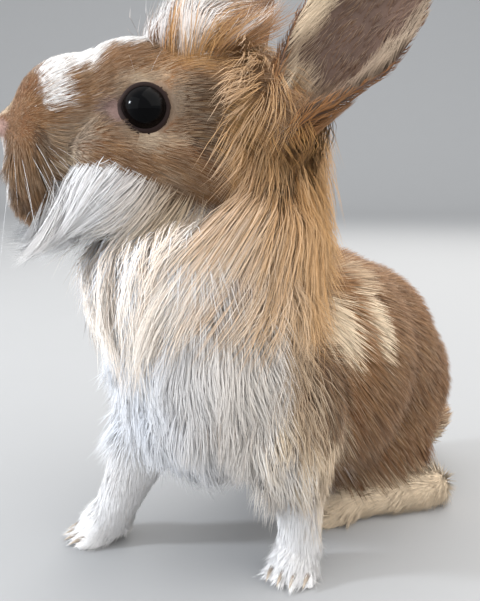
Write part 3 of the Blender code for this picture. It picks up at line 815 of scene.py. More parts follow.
def grown(chosen, flow, length, height, rings, hug=1.0, droop=0.0):
    """The bent middle lines of hairs from the chosen places: rings places each, then the tip.

    flow gives the lie at some places; height is how far hairs ride over the skin, hug how much
    they keep to its shape, and droop how much they sink under their own weight."""
    at, out = shared["pool"]["at"][chosen], shared["pool"]["out"][chosen]
    lines = np.empty((len(at), rings + 1, 3))
    lines[:, 0] = at - out * ROOT_DEPTH
    shares = np.linspace(0, 1, rings + 1) ** 1.1
    lean = np.clip(2.2 * height / length, 0.1, 1.4)
    ways = flattened(flow(at, out), out, lean)
    free = at
    for ring in range(1, rings + 1):
        step = (length * (shares[ring] - shares[ring - 1]))[:, None]
        free = free + ways * step
        spot, normal = nearest(free)
        over = ((free - spot) * normal).sum(1)
        profile = min(1, 0.45 + 1.1 * shares[ring])
        held = over + (np.minimum(over, height * profile) - over) * hug
        held = np.maximum(held, 0.35 + 0.15 * height)
        free = free + normal * (held - over)[:, None]
        lines[:, ring] = free
        ways = unit(ways * 0.45 + flattened(flow(free, normal), normal, lean * (1 - shares[ring]) * 0.6) * 0.55)
        ways = unit(ways + np.array((0, 0, -droop)))
    return lines


def gathered(lines, size, pull, dice):
    """Draws hairs together into pointed locks of about size hairs."""
    guides = lines[dice.choice(len(lines), len(lines) // size, replace=False)]
    roots = guides[:, 0]
    order = np.empty(len(lines), int)
    for start in range(0, len(lines), 4000):
        part = lines[start : start + 4000, 0]
        order[start : start + 4000] = ((part[:, None] - roots[None]) ** 2).sum(-1).argmin(1)
    shares = np.linspace(0, 1, lines.shape[1]) ** 1.4
    own = lines[:, :1] - guides[order][:, :1]
    wanted = guides[order] + own * (1 - 0.8 * shares)[None, :, None]
    amount = pull * dice.uniform(0.55, 1.1, len(lines))[:, None, None] * shares[None, :, None]
    return lines + (wanted - lines) * np.clip(amount, 0, 0.95)


def waved(lines, size, dice):
    """Gives hairs a slight sideways wave that neighbours share."""
    shares = np.linspace(0, 1, lines.shape[1])
    drift = np.stack([ripple(lines[:, 0], 16, seed) for seed in (51, 52, 53)], 1)
    drift = drift + dice.normal(scale=0.35, size=drift.shape)
    return lines + drift[:, None] * (size * shares**1.5)[None, :, None]


# How much a hair is shaded as the skin under it, so that the coat looks soft.
SOFTNESS = 0.8
# A hair's widths at its rings, by their number, as shares of its own width.
WIDTHS = {1: (1,), 2: (0.8, 1), 3: (0.75, 1, 0.8), 5: (0.7, 1, 1, 0.85, 0.55)}


def hair_mesh(name, lines, out, uv, width, tones, dice):
    """Closed three-sided tapered hairs along the lines, as one mesh."""
    count, rings = lines.shape[0], lines.shape[1] - 1
    along = unit(lines[:, 1:] - lines[:, :-1])
    across = unit(np.cross(along, out[:, None]))
    lift = np.cross(across, along)
    roll = dice.normal(scale=0.45, size=(count, 1, 1))
    across, lift = across * np.cos(roll) + lift * np.sin(roll), lift * np.cos(roll) - across * np.sin(roll)
    wide = width[:, None, None] * np.array(WIDTHS[rings])[None, :, None]
    middle = lines[:, :-1]
    points = np.empty((count, 3 * rings + 1, 3))
    points[:, 0:-1:3] = middle + across * wide / 2
    points[:, 1:-1:3] = middle + lift * wide * 0.4
    points[:, 2:-1:3] = middle - across * wide / 2
    points[:, -1] = lines[:, -1]
    middles = np.repeat(lines, [3] * rings + [1], axis=1)
    normals = unit(SOFTNESS * out[:, None] + (1 - SOFTNESS) * unit(points - middles + along[:, -1:] * 1e-3))
    template = []
    for low in range(0, 3 * rings - 3, 3):
        for corner, after in ((0, 1), (1, 2), (2, 0)):
            high = low + 3
            template += [(low + corner, high + after, low + after), (low + corner, high + corner, high + after)]
    last = 3 * rings - 3
    template += [(last + corner, 3 * rings, last + (corner + 1) % 3) for corner in range(3)]
    template.append((0, 1, 2))
    per = 3 * rings + 1
    triangles = np.array(template)[None] + (np.arange(count) * per)[:, None, None]
    shares = np.repeat(np.linspace(0, 1, rings + 1), [3] * rings + [1])
    root, middle_tone, tip = (tone[:, None] for tone in tones)
    early = np.minimum(shares * 2, 1)[None, :, None]
    late = np.maximum(shares * 2 - 1, 0)[None, :, None]
    colours = (root + (middle_tone - root) * early) * (1 - late) + tip * late
    patch = np.zeros((per, 2))
    patch[:, 1] = shares * 0.003
    patch[0:-1:3, 0], patch[2:-1:3, 0] = 0.0015, -0.0015
    patch[1, 1] = -0.0004
    uvs = np.clip(uv[:, None] + patch[None], 0, 1)
    return solid(
        name, points.reshape(-1, 3), triangles.reshape(-1, 3), colours.reshape(-1, 3), uvs.reshape(-1, 2),
        normals.reshape(-1, 3),
    )


def lay_hairs(name, chosen, lines, width, tones, material, dice):
    """Makes the hairs as pieces of at most MOST_TRIANGLES each."""
    pool = shared["pool"]
    rings = lines.shape[1] - 1
    per = (rings - 1) * 6 + 4
    parts = math.ceil(len(lines) * per / MOST_TRIANGLES)
    order = np.argsort(pool["at"][chosen] @ np.array((0.3, 1, 0.2)))
    for number, part in enumerate(np.array_split(order, parts), 1):
        piece = hair_mesh(
            name if parts == 1 else f"{name}_{number}", lines[part], pool["out"][chosen[part]],
            pool["uv"][chosen[part]], width[part], [tone[part] for tone in tones], dice,
        )
        finished(piece, material)


def coat_tones(chosen, dice, ticked=0.25, fade=0.12, contrast=0.12):
    """Root, middle and tip colours of hairs, uneven from hair to hair; their darker roots are partly the hair's own
    colour and partly painted shade in the depth of the coat.
    """
    pool = shared["pool"]
    at = pool["at"][chosen] + dice.normal(scale=1.3, size=(len(chosen), 3))
    base = markings(at, pool["headward"][chosen])
    base = base * (1 + dice.normal(scale=contrast, size=(len(chosen), 1))).clip(0.6, 1.35)
    pale = soft(0.45, 0.75, base.mean(1, keepdims=True))
    lock = ripple(at, 7, 91)[:, None] * (1 - pale)
    base = mixed(base, tone_of("gold"), 0.22 * np.maximum(lock[:, 0], 0)) * (1 + 0.14 * np.minimum(lock, 0))
    # Darker roots: partly the hair's own colour, partly painted shade in the depth of the coat; less on pale hair.
    root = base * (0.76 + 0.22 * pale)
    tip = mixed(base, tone_of("cream"), fade)
    light = dice.random(len(chosen)) < ticked
    tip[light] = mixed(tip[light], tone_of("cream"), 0.45)
    deep = (dice.random(len(chosen)) < ticked * 0.6) & (pale[:, 0] < 0.5)
    tip[deep] = mixed(tip[deep], tone_of("dark"), 0.5)
    return root, base, tip


def short_tones(root, base, tip):
    """The same for hairs with a colour at each end only."""
    return mixed(root, base, 0.4), base, mixed(base, tip, 0.7)


def head_flow(points, _normals):
    """The lie of the face: away from the nose, down the cheeks and back to the neck."""
    places = into_head(points)
    ways = unit(places - np.array((0, 56, -4))) * 0.8
    ways[:, 1] -= 0.55
    ways[:, 2] -= 0.5 * soft(2, -18, places[:, 2]) * soft(44, 20, places[:, 1])
    ways[:, 2] -= 1.1 * soft(-8, -24, places[:, 1]) * soft(28, 16, places[:, 2])
    pad = soft(0, -10, places[:, 2]) * soft(34, 40, places[:, 1])
    ways[:, 1] += 0.7 * pad
    ways[:, 2] -= 1.2 * pad
    ways[:, 0] += 0.25 * np.sign(places[:, 0]) * soft(30, 0, places[:, 1])
    return unit(way_out_of_head(ways))


def body_flow(points, normals):
    """The lie of the body: down the chest, back along the spine and down the flanks."""
    back = soft(8, 52, points[:, 1])[:, None]
    front = np.array((0.0, -0.08, -1.0)) + normals * (0.4, 0.1, 0)
    sides = np.clip(np.abs(points[:, :1] + 6) / 40, 0, 1)
    rear = np.concatenate((0 * sides, 0.9 - 0.2 * sides, -0.35 - 0.55 * sides), 1)
    drop = soft(70, 130, points[:, 1])[:, None] * np.array((0, -0.1, -0.5))
    return unit(front * (1 - back) + (rear + drop) * back)


def mane_flow(points, normals):
    """The lie of the mane: swept forward under the cheeks, down, and back over the shoulders."""
    side = np.sign(points[:, 0] + 8)
    forward = soft(34, 0, points[:, 1]) * soft(2, 22, np.abs(points[:, 0] + 8))
    backward = soft(24, 56, points[:, 1]) + 0.7 * soft(136, 154, points[:, 2]) * soft(10, 30, points[:, 1])
    ways = np.zeros_like(points)
    ways[:, 0] = (0.25 * backward - 0.5 * forward) * side
    ways[:, 1] = 0.75 * backward - 0.7 * forward
    ways[:, 2] = -1
    return unit(ways)


def leg_flow(points, normals):
    return np.broadcast_to(np.array((0.0, -0.05, -1.0)), points.shape)


def foot_flow(points, normals):
    """Towards the toes of the nearest foot, down where it is steep."""
    ways = np.zeros_like(points)
    best = np.full(len(points), FAR)
    for side in SIDES:
        for matrix in (paw_matrix(side), foot_matrix(side)):
            local = moved(matrix.inverted(), points)
            away = np.linalg.norm(local * (1, 0.5, 1), axis=1)
            ahead = -np.array(matrix)[:3, 1]
            ways[away < best] = ahead + np.array((0, 0, -0.45))
            best = np.minimum(best, away)
    return unit(ways)


def tail_flow(points, normals):
    middle = moved(hind_matrix(), np.array([TAIL[0]]))[0]
    out = unit(points - middle)
    return unit(out + HIND_ROTATION @ np.array((0, 0.9, 0.25)))


def ear_flow(side):
    up = np.array(ear_matrix(side))[:3, 2]

    def flow(points, normals):
        return np.broadcast_to(up, points.shape)

    return flow


def ear_root_flow(points, normals):
    """Away from the head's middle, backward and down over the neck."""
    places = into_head(points)
    ways = np.stack((0.5 * np.sign(places[:, 0]), np.full(len(points), -0.5), np.full(len(points), -0.9)), 1)
    return unit(way_out_of_head(ways) + 0.5 * normals)


def rng(offset):
    return np.random.default_rng(looks().seed * 100 + offset)


def away_from_eyes(points):
    """How far places are from the nearer eye's middle, and how far off its axis."""
    best, axis = np.full(len(points), FAR), np.zeros(len(points))
    for side in SIDES:
        local = moved(eye_matrix(side).inverted(), points)
        away = np.linalg.norm(local, axis=1)
        off = np.arccos(np.clip(-local[:, 1] / np.maximum(away, 1e-6), -1, 1))
        axis = np.where(away < best, off, axis)
        best = np.minimum(best, away)
    return best, axis


def make_face_coat():
    """Short fine hair over the whole head."""
    pool, dice = shared["pool"], rng(1)
    places = into_head(pool["at"])
    near_eye, axis = away_from_eyes(pool["at"])
    bare = (near_eye < EYE_RADIUS + 1.2) & (axis < math.radians(84))
    bare |= np.linalg.norm((folded(places) - (17, 15.5, 2.5)) / (8, 5.5, 3.6), axis=1) < 1
    weights = (pool["part"] == "head") & ~pool["ear"] & ~bare
    weights = weights * (1 + 1.6 * soft(-5, 25, places[:, 1]))
    chosen = picked(weights, 68_000, dice)
    places = places[chosen]
    near = near_eye[chosen]
    length = 2.2 + (millimetres(looks().face_length) - 2.2) * soft(50, 26, places[:, 1])
    length += 7 * soft(-4, -28, places[:, 1]) + 3 * soft(-8, -24, places[:, 2]) * soft(30, 12, places[:, 1])
    length += 11 * soft(-4, -14, places[:, 2]) * soft(34, 40, places[:, 1])
    length *= soft(EYE_RADIUS, EYE_RADIUS + 9, near) * 0.5 + 0.5
    length *= dice.uniform(0.75, 1.2, len(chosen))
    height = (0.15 + 0.15 * soft(-4, -14, places[:, 2]) * soft(34, 40, places[:, 1])) * length + 0.2
    lines = grown(chosen, head_flow, length, height, 1)
    lines = gathered(lines, 9, 0.3, dice)
    width = np.minimum(0.2 + 0.018 * length, 0.32) * dice.uniform(0.8, 1.2, len(chosen))
    tones = short_tones(*coat_tones(chosen, dice, 0.25, contrast=0.14))
    material = shader("face hair", 0.62, sheen=0.04)
    lay_hairs("face_coat", chosen, lines, width, tones, material, dice)


def make_beard():
    """The long white tufts under the cheeks, drawn to a point, and the tuft on the forehead."""
    pool, dice = shared["pool"], rng(2)
    places = into_head(pool["at"])
    apart = folded(places)
    on_head = (pool["part"] == "head") & ~pool["ear"]
    cheek = on_head * soft(1.15, 0.7, np.linalg.norm((apart - (17, 23, -23)) / (14, 13, 9.5), axis=1))
    chosen = picked(cheek, 6200, dice)
    at = places[chosen]
    point = np.array((13, 52, -58))

    def hanging(points, normals):
        local = into_head(points)
        side = np.sign(local[:, :1])
        ways = unit(point * np.concatenate((side, 1 + 0 * side, 1 + 0 * side), 1) - local)
        return way_out_of_head(ways + np.array((0, 0, -0.1)))

    reach = np.linalg.norm(np.abs(at) * (1, 1, 0) + at * (0, 0, 1) - point, axis=1)
    length = reach * (0.3 + 0.72 * dice.random(len(chosen)) ** 1.2)
    height = 2 + 6 * dice.random(len(chosen))
    lines = grown(chosen, hanging, length, height, 3, hug=0.3)
    lines = gathered(waved(lines, 2.5, dice), 40, 0.5, dice)
    white = tone_of("white")
    shade = dice.normal(1, 0.02, (len(chosen), 1)).clip(0.93, 1.05)
    root, base, tip = coat_tones(chosen, dice, 0.1, contrast=0.06)
    tones = mixed(root, white, 0.85) * shade, mixed(base, white, 0.95) * shade, white * shade * 1.02
    width = dice.uniform(0.16, 0.3, len(chosen))
    material = shader("white long hair", 0.55, sheen=0.1, vary=0.06)
    lay_hairs("beard", chosen, lines, width, tones, material, dice)

    depth = apart[:, 2] + 13 + 0.35 * (20 - apart[:, 1])
    rear = on_head * soft(24, 12, apart[:, 1]) * soft(-24, -8, apart[:, 1]) * soft(3, -6, depth)
    chosen = picked(rear, 3600, dice)
    at = places[chosen]

    def sweeping(points, normals):
        local = into_head(points)
        ahead = 0.25 + 0.5 * soft(-20, 10, local[:, 1])
        return way_out_of_head(unit(np.stack((0.1 * np.sign(local[:, 0]), ahead, -0.85 + 0 * ahead), 1)))

    back = soft(14, -10, at[:, 1])
    length = (22 + 8 * back) * dice.uniform(0.3, 1.15, len(chosen))
    height = 1.5 + 6 * dice.random(len(chosen))
    lines = grown(chosen, sweeping, length, height, 3, hug=0.5)
    lines = gathered(waved(lines, 4, dice), 24, 0.3, dice)
    cream = tone_of("cream")
    root, base, tip = coat_tones(chosen, dice, 0.1, contrast=0.06)
    pale = mixed(white, cream, back)
    streak = soft(-0.6, 0.6, ripple(pool["at"][chosen], 7, 63) + dice.normal(scale=0.3, size=len(chosen)))
    root = mixed(root, pale, 0.7 * (1 - back))
    tones = root, mixed(base, pale, 0.6 + 0.3 * streak), mixed(tip, pale, 0.8 + 0.2 * streak)
    width = dice.uniform(0.18, 0.32, len(chosen))
    lay_hairs("cheek_fringe", chosen, lines, width, tones, material, dice)

    crown = on_head * soft(1.1, 0.7, np.linalg.norm((apart - (11, -14, 28)) / (16, 16, 12), axis=1))
    chosen = picked(crown, 4500, dice)
    at = places[chosen]

    def rising(points, normals):
        local = into_head(points)
        behind = soft(-6, -26, local[:, 1])
        ways = np.stack((0.3 * np.sign(local[:, 0]), 0.1 - 0.9 * behind, 0.9 - 0.3 * behind), 1)
        return way_out_of_head(ways)

    length = 25 * dice.uniform(0.35, 1.15, len(chosen)) * (0.5 + 0.5 * soft(6, -10, at[:, 1]))
    height = np.full(len(chosen), 18.0)
    lines = grown(chosen, rising, length, height, 3, hug=0, droop=0.06)
    lines = gathered(waved(lines, 5, dice), 30, 0.4, dice)
    root, base, tip = coat_tones(chosen, dice, 0.15)
    paler = soft(0.0, 0.5, ripple(pool["at"][chosen], 9, 61) + 1.3 * soft(-20, -8, at[:, 1]) - 0.6)
    tones = root, mixed(base, white, 0.6 * paler), mixed(tip, white, 0.75 * paler)
    width = dice.uniform(0.16, 0.28, len(chosen))
    lay_hairs("forehead_tuft", chosen, lines, width, tones, material, dice)


def make_ear_coat():
    """Short hair on the backs of the ears, and longer fringes on their edges and at their roots."""
    pool, dice = shared["pool"], rng(3)
    material = shader("ear hair", 0.62, sheen=0.04)
    for side in SIDES:
        matrix = ear_matrix(side)
        local = moved(matrix.inverted(), pool["at"])
        out = pool["out"] @ np.array(matrix)[:3, :3]
        share = local[:, 2] / EAR_LENGTH + 0.12
        mine = pool["ear"] & (np.abs(local[:, 0]) < 30) & (np.abs(local[:, 1]) < 45) & (share > -0.1) & (share < 1.1)
        mine &= np.linalg.norm(local[:, :2], axis=1) < 34
        outward = (out[:, :2] * (local[:, :2] - (0, -6))).sum(1) > 0
        edge = soft(9, 16, np.abs(local[:, 0]))
        chosen = picked(mine * outward * 1.0, 2700, dice)
        length = (5.5 + 9 * soft(0.4, 0.1, share[chosen])) * dice.uniform(0.7, 1.2, len(chosen))
        lines = grown(chosen, ear_flow(side), length, 0.2 * length + 0.2, 2)
        lines = gathered(lines, 8, 0.4, dice)
        base = mixed(tone_of("orange"), tone_of("chestnut"), soft(-0.1, 0.7, share[chosen]))
        base = base * dice.normal(1, 0.1, (len(chosen), 1)).clip(0.7, 1.3)
        width = 0.3 * dice.uniform(0.8, 1.2, len(chosen))
        # Darker roots: partly the hair's own colour, partly painted shade in the depth of the coat.
        tones = base * 0.8, base, mixed(base, tone_of("grey"), 0.5)
        lay_hairs(f"ear_back_coat_{side}", chosen, lines, width, tones, material, dice)

        root = mine & outward & (share < 0.16)
        chosen = picked(root * 1.0, 1000, dice)
        length = 15 * dice.uniform(0.5, 1.2, len(chosen))
        lines = grown(chosen, ear_root_flow, length, 0.25 * length, 3, hug=0.3)
        lines = gathered(waved(lines, 2, dice), 12, 0.4, dice)
        base = mixed(tone_of("gold"), tone_of("brown"), dice.random(len(chosen)))
        width = 0.24 * dice.uniform(0.8, 1.2, len(chosen))
        # Darker roots: partly the hair's own colour, partly painted shade in the depth of the coat.
        tones = base * 0.8, base, base * 1.1
        lay_hairs(f"ear_root_hair_{side}", chosen, lines, width, tones, material, dice)

        inner = mine & ~outward
        chosen = picked(inner * (0.12 + 1.4 * edge**2 + soft(0.35, 0.05, share)), 3200, dice)
        rim = edge[chosen]
        low = soft(0.45, 0.05, share[chosen])
        near_tip = soft(0.35, 0.75, share[chosen])
        length = (6 + 9 * low + 5 * rim * (1 - near_tip)) * dice.uniform(0.6, 1.2, len(chosen))
        height = (0.12 + 0.35 * rim * (1 - near_tip) + 0.15 * low) * length
        # The cup's front edge, which only sets the colour; the hairs lie up the ear.
        ahead = soft(6, -6, local[chosen, 0] * SIDES[side])
        lines = grown(chosen, ear_flow(side), length, height, 3, hug=0.5)
        lines = gathered(waved(lines, 1.5, dice), 10, 0.4, dice)
        base = mixed(tone_of("ear_skin"), tone_of("brown"), 0.5 * dice.random(len(chosen)))
        base = mixed(base, tone_of("grey"), 0.8 * rim * (1 - ahead))
        base = mixed(base, tone_of("cream"), 0.75 * ahead * np.maximum(rim, low))
        base = base * dice.normal(1, 0.08, (len(chosen), 1)).clip(0.7, 1.3)
        width = 0.24 * dice.uniform(0.8, 1.2, len(chosen))
        # Darker roots: partly the hair's own colour, partly painted shade in the depth of the coat.
        tones = base * 0.85, base, mixed(base, tone_of("cream"), 0.25)
        lay_hairs(f"ear_cup_hair_{side}", chosen, lines, width, tones, material, dice)


def make_mane():
    """The long mane round the neck, gold at its roots and white at its tips."""
    pool, dice = shared["pool"], rng(4)
    at = pool["at"]
    places = into_head(at)
    neck = (pool["part"] == "body") * soft(96, 116, at[:, 2]) * soft(30, 14, at[:, 1] - 0.8 * (at[:, 2] - 100))
    nape = (pool["part"] == "head") * ~pool["ear"] * soft(-22, -34, places[:, 1]) * 0.8
    chosen = picked(neck + nape, 16_500, dice)
    spots = at[chosen]
    full = millimetres(looks().mane_length)
    length = full * (0.45 + 0.55 * soft(100, 122, spots[:, 2])) * (1 - 0.6 * soft(14, 46, spots[:, 1]))
    length *= 1 - 0.55 * pool["headward"][chosen] * soft(-6, -24, into_head(spots)[:, 1])
    length *= dice.uniform(0.45, 1.15, len(chosen))
    height = dice.uniform(2.5, 10, len(chosen)) * (1 - 0.5 * soft(20, 60, spots[:, 1]))
    lines = grown(chosen, mane_flow, length, height, 3, hug=0.85, droop=0.05)
    lines = gathered(waved(lines, 5, dice), 34, 0.42, dice)
    root, base, tip = coat_tones(chosen, dice, 0.2, contrast=0.07)
    front = soft(44, 2, spots[:, 1] + 0.5 * np.abs(spots[:, 0] + 8))
    rear = soft(34, 62, spots[:, 1])
    low = soft(152, 136, spots[:, 2])
    cream, white, gold = tone_of("cream"), tone_of("white"), tone_of("gold")
    streak = soft(-0.5, 0.6, ripple(spots, 8, 71) + dice.normal(scale=0.3, size=len(spots)))
    pale = mixed(cream, white, 0.55 * front) * 1.04
    root = mixed(root, pale, 0.8 * front * low)
    middle = mixed(base, gold, 0.75)
    middle = mixed(middle, pale, (0.12 + 0.88 * front) * (0.35 + 0.65 * streak) * (0.2 + 0.8 * low))
    middle = mixed(middle, base, 0.6 * rear)
    high = pool["headward"][chosen]
    paler = (0.2 + 0.65 * front + 0.25 * streak) * (1 - 0.6 * rear) * (1 - 0.6 * high)
    end = mixed(mixed(base, gold, 0.8), pale, paler)
    width = dice.uniform(0.17, 0.32, len(chosen))
    material = shader("mane hair", 0.6, sheen=0.02, vary=0.1)
    lay_hairs("mane", chosen, lines, width, (root, middle, end), material, dice)


def make_chest_coat():
    """The thick white coat of the chest, down to its soft lower edge between the legs, with painted cool shade on one
    side, painted warm light on the other and painted shade all over.
    """
    pool, dice = shared["pool"], rng(5)
    at = pool["at"]
    front = (pool["part"] == "body") * soft(134, 122, at[:, 2])
    front = front * soft(30, 12, at[:, 1] + 0.7 * np.maximum(at[:, 0] - 20, 0))
    front = front + (pool["part"] == "leg") * soft(46, 56, at[:, 2]) * 0.8
    chosen = picked(front, 19_500, dice)
    spots = at[chosen]
    length = millimetres(looks().chest_length) * (0.75 + 0.25 * soft(50, 90, spots[:, 2]))
    length = length * (0.55 + 0.45 * soft(24, 6, spots[:, 1])) * dice.uniform(0.65, 1.15, len(spots))
    height = dice.uniform(2, 9.5, len(chosen)) * (0.45 + 0.55 * soft(26, 0, spots[:, 1]))
    lines = grown(chosen, body_flow, length, height, 2, hug=0.7, droop=0.03)
    lines = gathered(waved(lines, 4, dice), 20, 0.28, dice)
    root, base, tip = coat_tones(chosen, dice, 0.1, 0.02, contrast=0.025)
    # Painted light: a cool tint of painted shade on the rabbit's right, deeper in the hollows of a noise, and a warm
    # cream of painted light on its left.
    cool_painted_shade = tone_of("painted_shade_white")
    painted_shade_hollows = soft(-0.5, 0.6, ripple(spots, 12, 81))
    warm_painted_light = soft(-6, 30, spots[:, 0])
    cream = tone_of("cream")
    middle = mixed(mixed(base, cool_painted_shade, (0.4 + 0.4 * painted_shade_hollows) * (1 - warm_painted_light)), cream, 0.4 * warm_painted_light)
    # The middles and tips are painted darker all over, as shade under the chin.
    tones = mixed(root, base, 0.6), middle * 0.88, mixed(mixed(tip, cool_painted_shade, 0.3 * (1 - warm_painted_light)), cream, 0.35 * warm_painted_light) * 0.9
    width = dice.uniform(0.2, 0.36, len(chosen))
    material = shader("chest hair", 0.6, sheen=0.1, vary=0.08)
    lay_hairs("chest_coat", chosen, lines, width, tones, material, dice)


def make_leg_coat():
    """Short hair on the forelegs, the paws and the hind feet."""
    pool, dice = shared["pool"], rng(6)
    at = pool["at"]
    material = shader("leg hair", 0.65, sheen=0.08, vary=0.08)
    legs = (pool["part"] == "leg") * 1.0
    chosen = picked(legs, 13_500, dice)
    length = millimetres(looks().leg_length) * (1 + 0.9 * soft(30, 52, at[chosen, 2]))
    length = length * dice.uniform(0.75, 1.2, len(chosen))
    lines = grown(chosen, leg_flow, length, 0.22 * length, 1)
    lines = gathered(lines, 8, 0.3, dice)
    width = dice.uniform(0.3, 0.5, len(chosen))
    # Painted shade: the leg hair is painted a little darker all over.
    tones = [tone * 0.93 for tone in short_tones(*coat_tones(chosen, dice, 0.05, 0.05, 0.03))]
    lay_hairs("foreleg_coat", chosen, lines, width, tones, material, dice)

    feet = ((pool["part"] == "paw") | (pool["part"] == "foot")) * soft(0.8, 2.5, at[:, 2])
    chosen = picked(feet, 13_500, dice)
    heel = soft(112, 132, at[chosen, 1])
    hind = soft(40, 60, at[chosen, 1])
    length = (6.5 + 1.5 * hind + 2 * heel) * dice.uniform(0.6, 1.2, len(chosen))
    lines = grown(chosen, foot_flow, length, (0.3 + 0.08 * hind) * length, 1)
    lines = gathered(waved(lines, 1.5, dice), 9, 0.12, dice)
    lines[:, 1:, 2] = np.maximum(lines[:, 1:, 2], 0.5)
    width = dice.uniform(0.3, 0.5, len(chosen))
    tones = short_tones(*coat_tones(chosen, dice, 0.05, 0.1, 0.03))
    lay_hairs("foot_coat", chosen, lines, width, tones, material, dice)


def make_back_coat():
    """The smooth coat of the back, flanks and haunches, with a longer fringe on the flanks."""
    pool, dice = shared["pool"], rng(7)
    at = pool["at"]
    rear = (pool["part"] == "body") | (pool["part"] == "haunch")
    weights = rear * (0.15 + 0.85 * soft(2, 26, at[:, 1])) * (0.25 + 0.75 * soft(2, 16, at[:, 2]))
    chosen = picked(weights, 54_000, dice)
    spots = at[chosen]
    flank = soft(24, 36, spots[:, 1]) * soft(80, 60, spots[:, 1]) * soft(72, 56, spots[:, 2])
    longer = 9 * flank + 3 * soft(60, 36, spots[:, 1]) + 6 * soft(34, 20, spots[:, 2])
    length = (millimetres(looks().back_length) + longer) * dice.uniform(0.7, 1.15, len(chosen))
    height = dice.uniform(1.2, 4.2, len(chosen)) * (1 + 0.8 * flank)
    lines = grown(chosen, body_flow, length, height, 1, hug=0.9)
    lines = gathered(lines, 9, 0.35, dice)
    lines[:, 1:, 2] = np.maximum(lines[:, 1:, 2], 0.6)
    width = dice.uniform(0.36, 0.62, len(chosen))
    material = shader("body hair", 0.6, sheen=0.04)
    tones = short_tones(*coat_tones(chosen, dice, 0.2, contrast=0.13))
    lay_hairs("back_coat", chosen, lines, width, tones, material, dice)

    chosen = picked((pool["part"] == "tail") * 1.0, 1700, dice)
    length = 13 * dice.uniform(0.7, 1.2, len(chosen))
    lines = grown(chosen, tail_flow, length, 0.6 * length, 3, hug=0.1)
    lines = gathered(lines, 12, 0.5, dice)
    lines[:, 1:, 2] = np.maximum(lines[:, 1:, 2], 0.6)
    width = dice.uniform(0.5, 0.8, len(chosen))
    lay_hairs("tail_coat", chosen, lines, width, coat_tones(chosen, dice, 0.2, 0.3), material, dice)


# ---- Eyes, lids, whiskers, claws ----


def polar(matrix, radius, off_axis, around):
    """Places round an eye, by the angle off its axis and round it."""
    local = np.stack(
        (np.sin(off_axis) * np.cos(around), -np.cos(off_axis), np.sin(off_axis) * np.sin(around)), -1
    )
    return moved(matrix, (local * np.asarray(radius)[..., None]).reshape(-1, 3)).reshape(local.shape)


def grid_faces(rows, columns, flip=False):
    """Triangles of a grid that closes round its columns."""
    ids = np.arange(rows * columns).reshape(rows, columns)
    low, high = ids[:-1], ids[1:]
    a, b, c, d = low, np.roll(low, -1, 1), np.roll(high, -1, 1), high
    faces = np.concatenate((np.stack((a, b, c), -1).reshape(-1, 3), np.stack((a, c, d), -1).reshape(-1, 3)))
    return faces[:, ::-1] if flip else faces


def plain_uvs(points, spot=(0.5, 0.5), size=0.02):
    """A small flat map of a piece, spread by its own sides."""
    spread = points - points.min(0)
    spread = spread / max(spread.max(), 1e-6) * size
    return np.stack((spread[:, 0] + spread[:, 1] * 0.31, spread[:, 2] + spread[:, 1] * 0.37), 1) + np.array(spot)


def make_eyeball(side, material):
    """A glossy dark eyeball with a slight cornea and a deep brown iris."""
    matrix = eye_matrix(side)
    rows, columns = 40, 48
    off_axis, around = np.meshgrid(
        np.linspace(0.001, math.pi * 0.8, rows), np.linspace(0, 2 * math.pi, columns, endpoint=False),
        indexing="ij",
    )
    bulge = 0.35 * np.exp(-((off_axis / 0.7) ** 4))
    points = polar(matrix, EYE_RADIUS + bulge, off_axis, around).reshape(-1, 3)
    faces = grid_faces(rows, columns)
    front, back = len(points), len(points) + 1
    poles = polar(matrix, np.array((EYE_RADIUS + 0.35, 3.0)), np.array((0.0, math.pi)), np.zeros(2))
    points = np.concatenate((points, poles))
    ring = np.arange(columns)
    last = (rows - 1) * columns + ring
    faces = np.concatenate((
        faces,
        np.stack((np.full(columns, front), np.roll(ring, -1), ring), 1),
        np.stack((np.full(columns, back), last, np.roll(last, -1)), 1),
    ))
    off = np.concatenate((off_axis.ravel(), (0, math.pi)))
    streaks = 0.5 + 0.5 * np.sin(np.concatenate((around.ravel(), (0, 0))) * 31)
    iris = soft(0.62, 0.7, off) * soft(1.2, 1.0, off)
    colour = mixed(np.array(srgb(3, 3, 4)), np.array(srgb(13, 9, 8)), iris * (0.5 + 0.5 * streaks))
    eye = solid(f"eyeball_{side}", points, faces, colour, plain_uvs(points, (0.02, 0.02)))
    finished(eye, material, [f"eye_{side}"])


def skin_reach(matrix, way):
    """How far the skin lies from an eye's middle, one way."""
    inner = EYE_RADIUS - 0.2
    hit, _, _, away = shared["tree"].ray_cast(Vector(np.array(matrix)[:3, 3] + way * inner), Vector(way))
    return away + EYE_RADIUS - 0.2 if hit is not None and away < 8 else EYE_RADIUS + 0.2


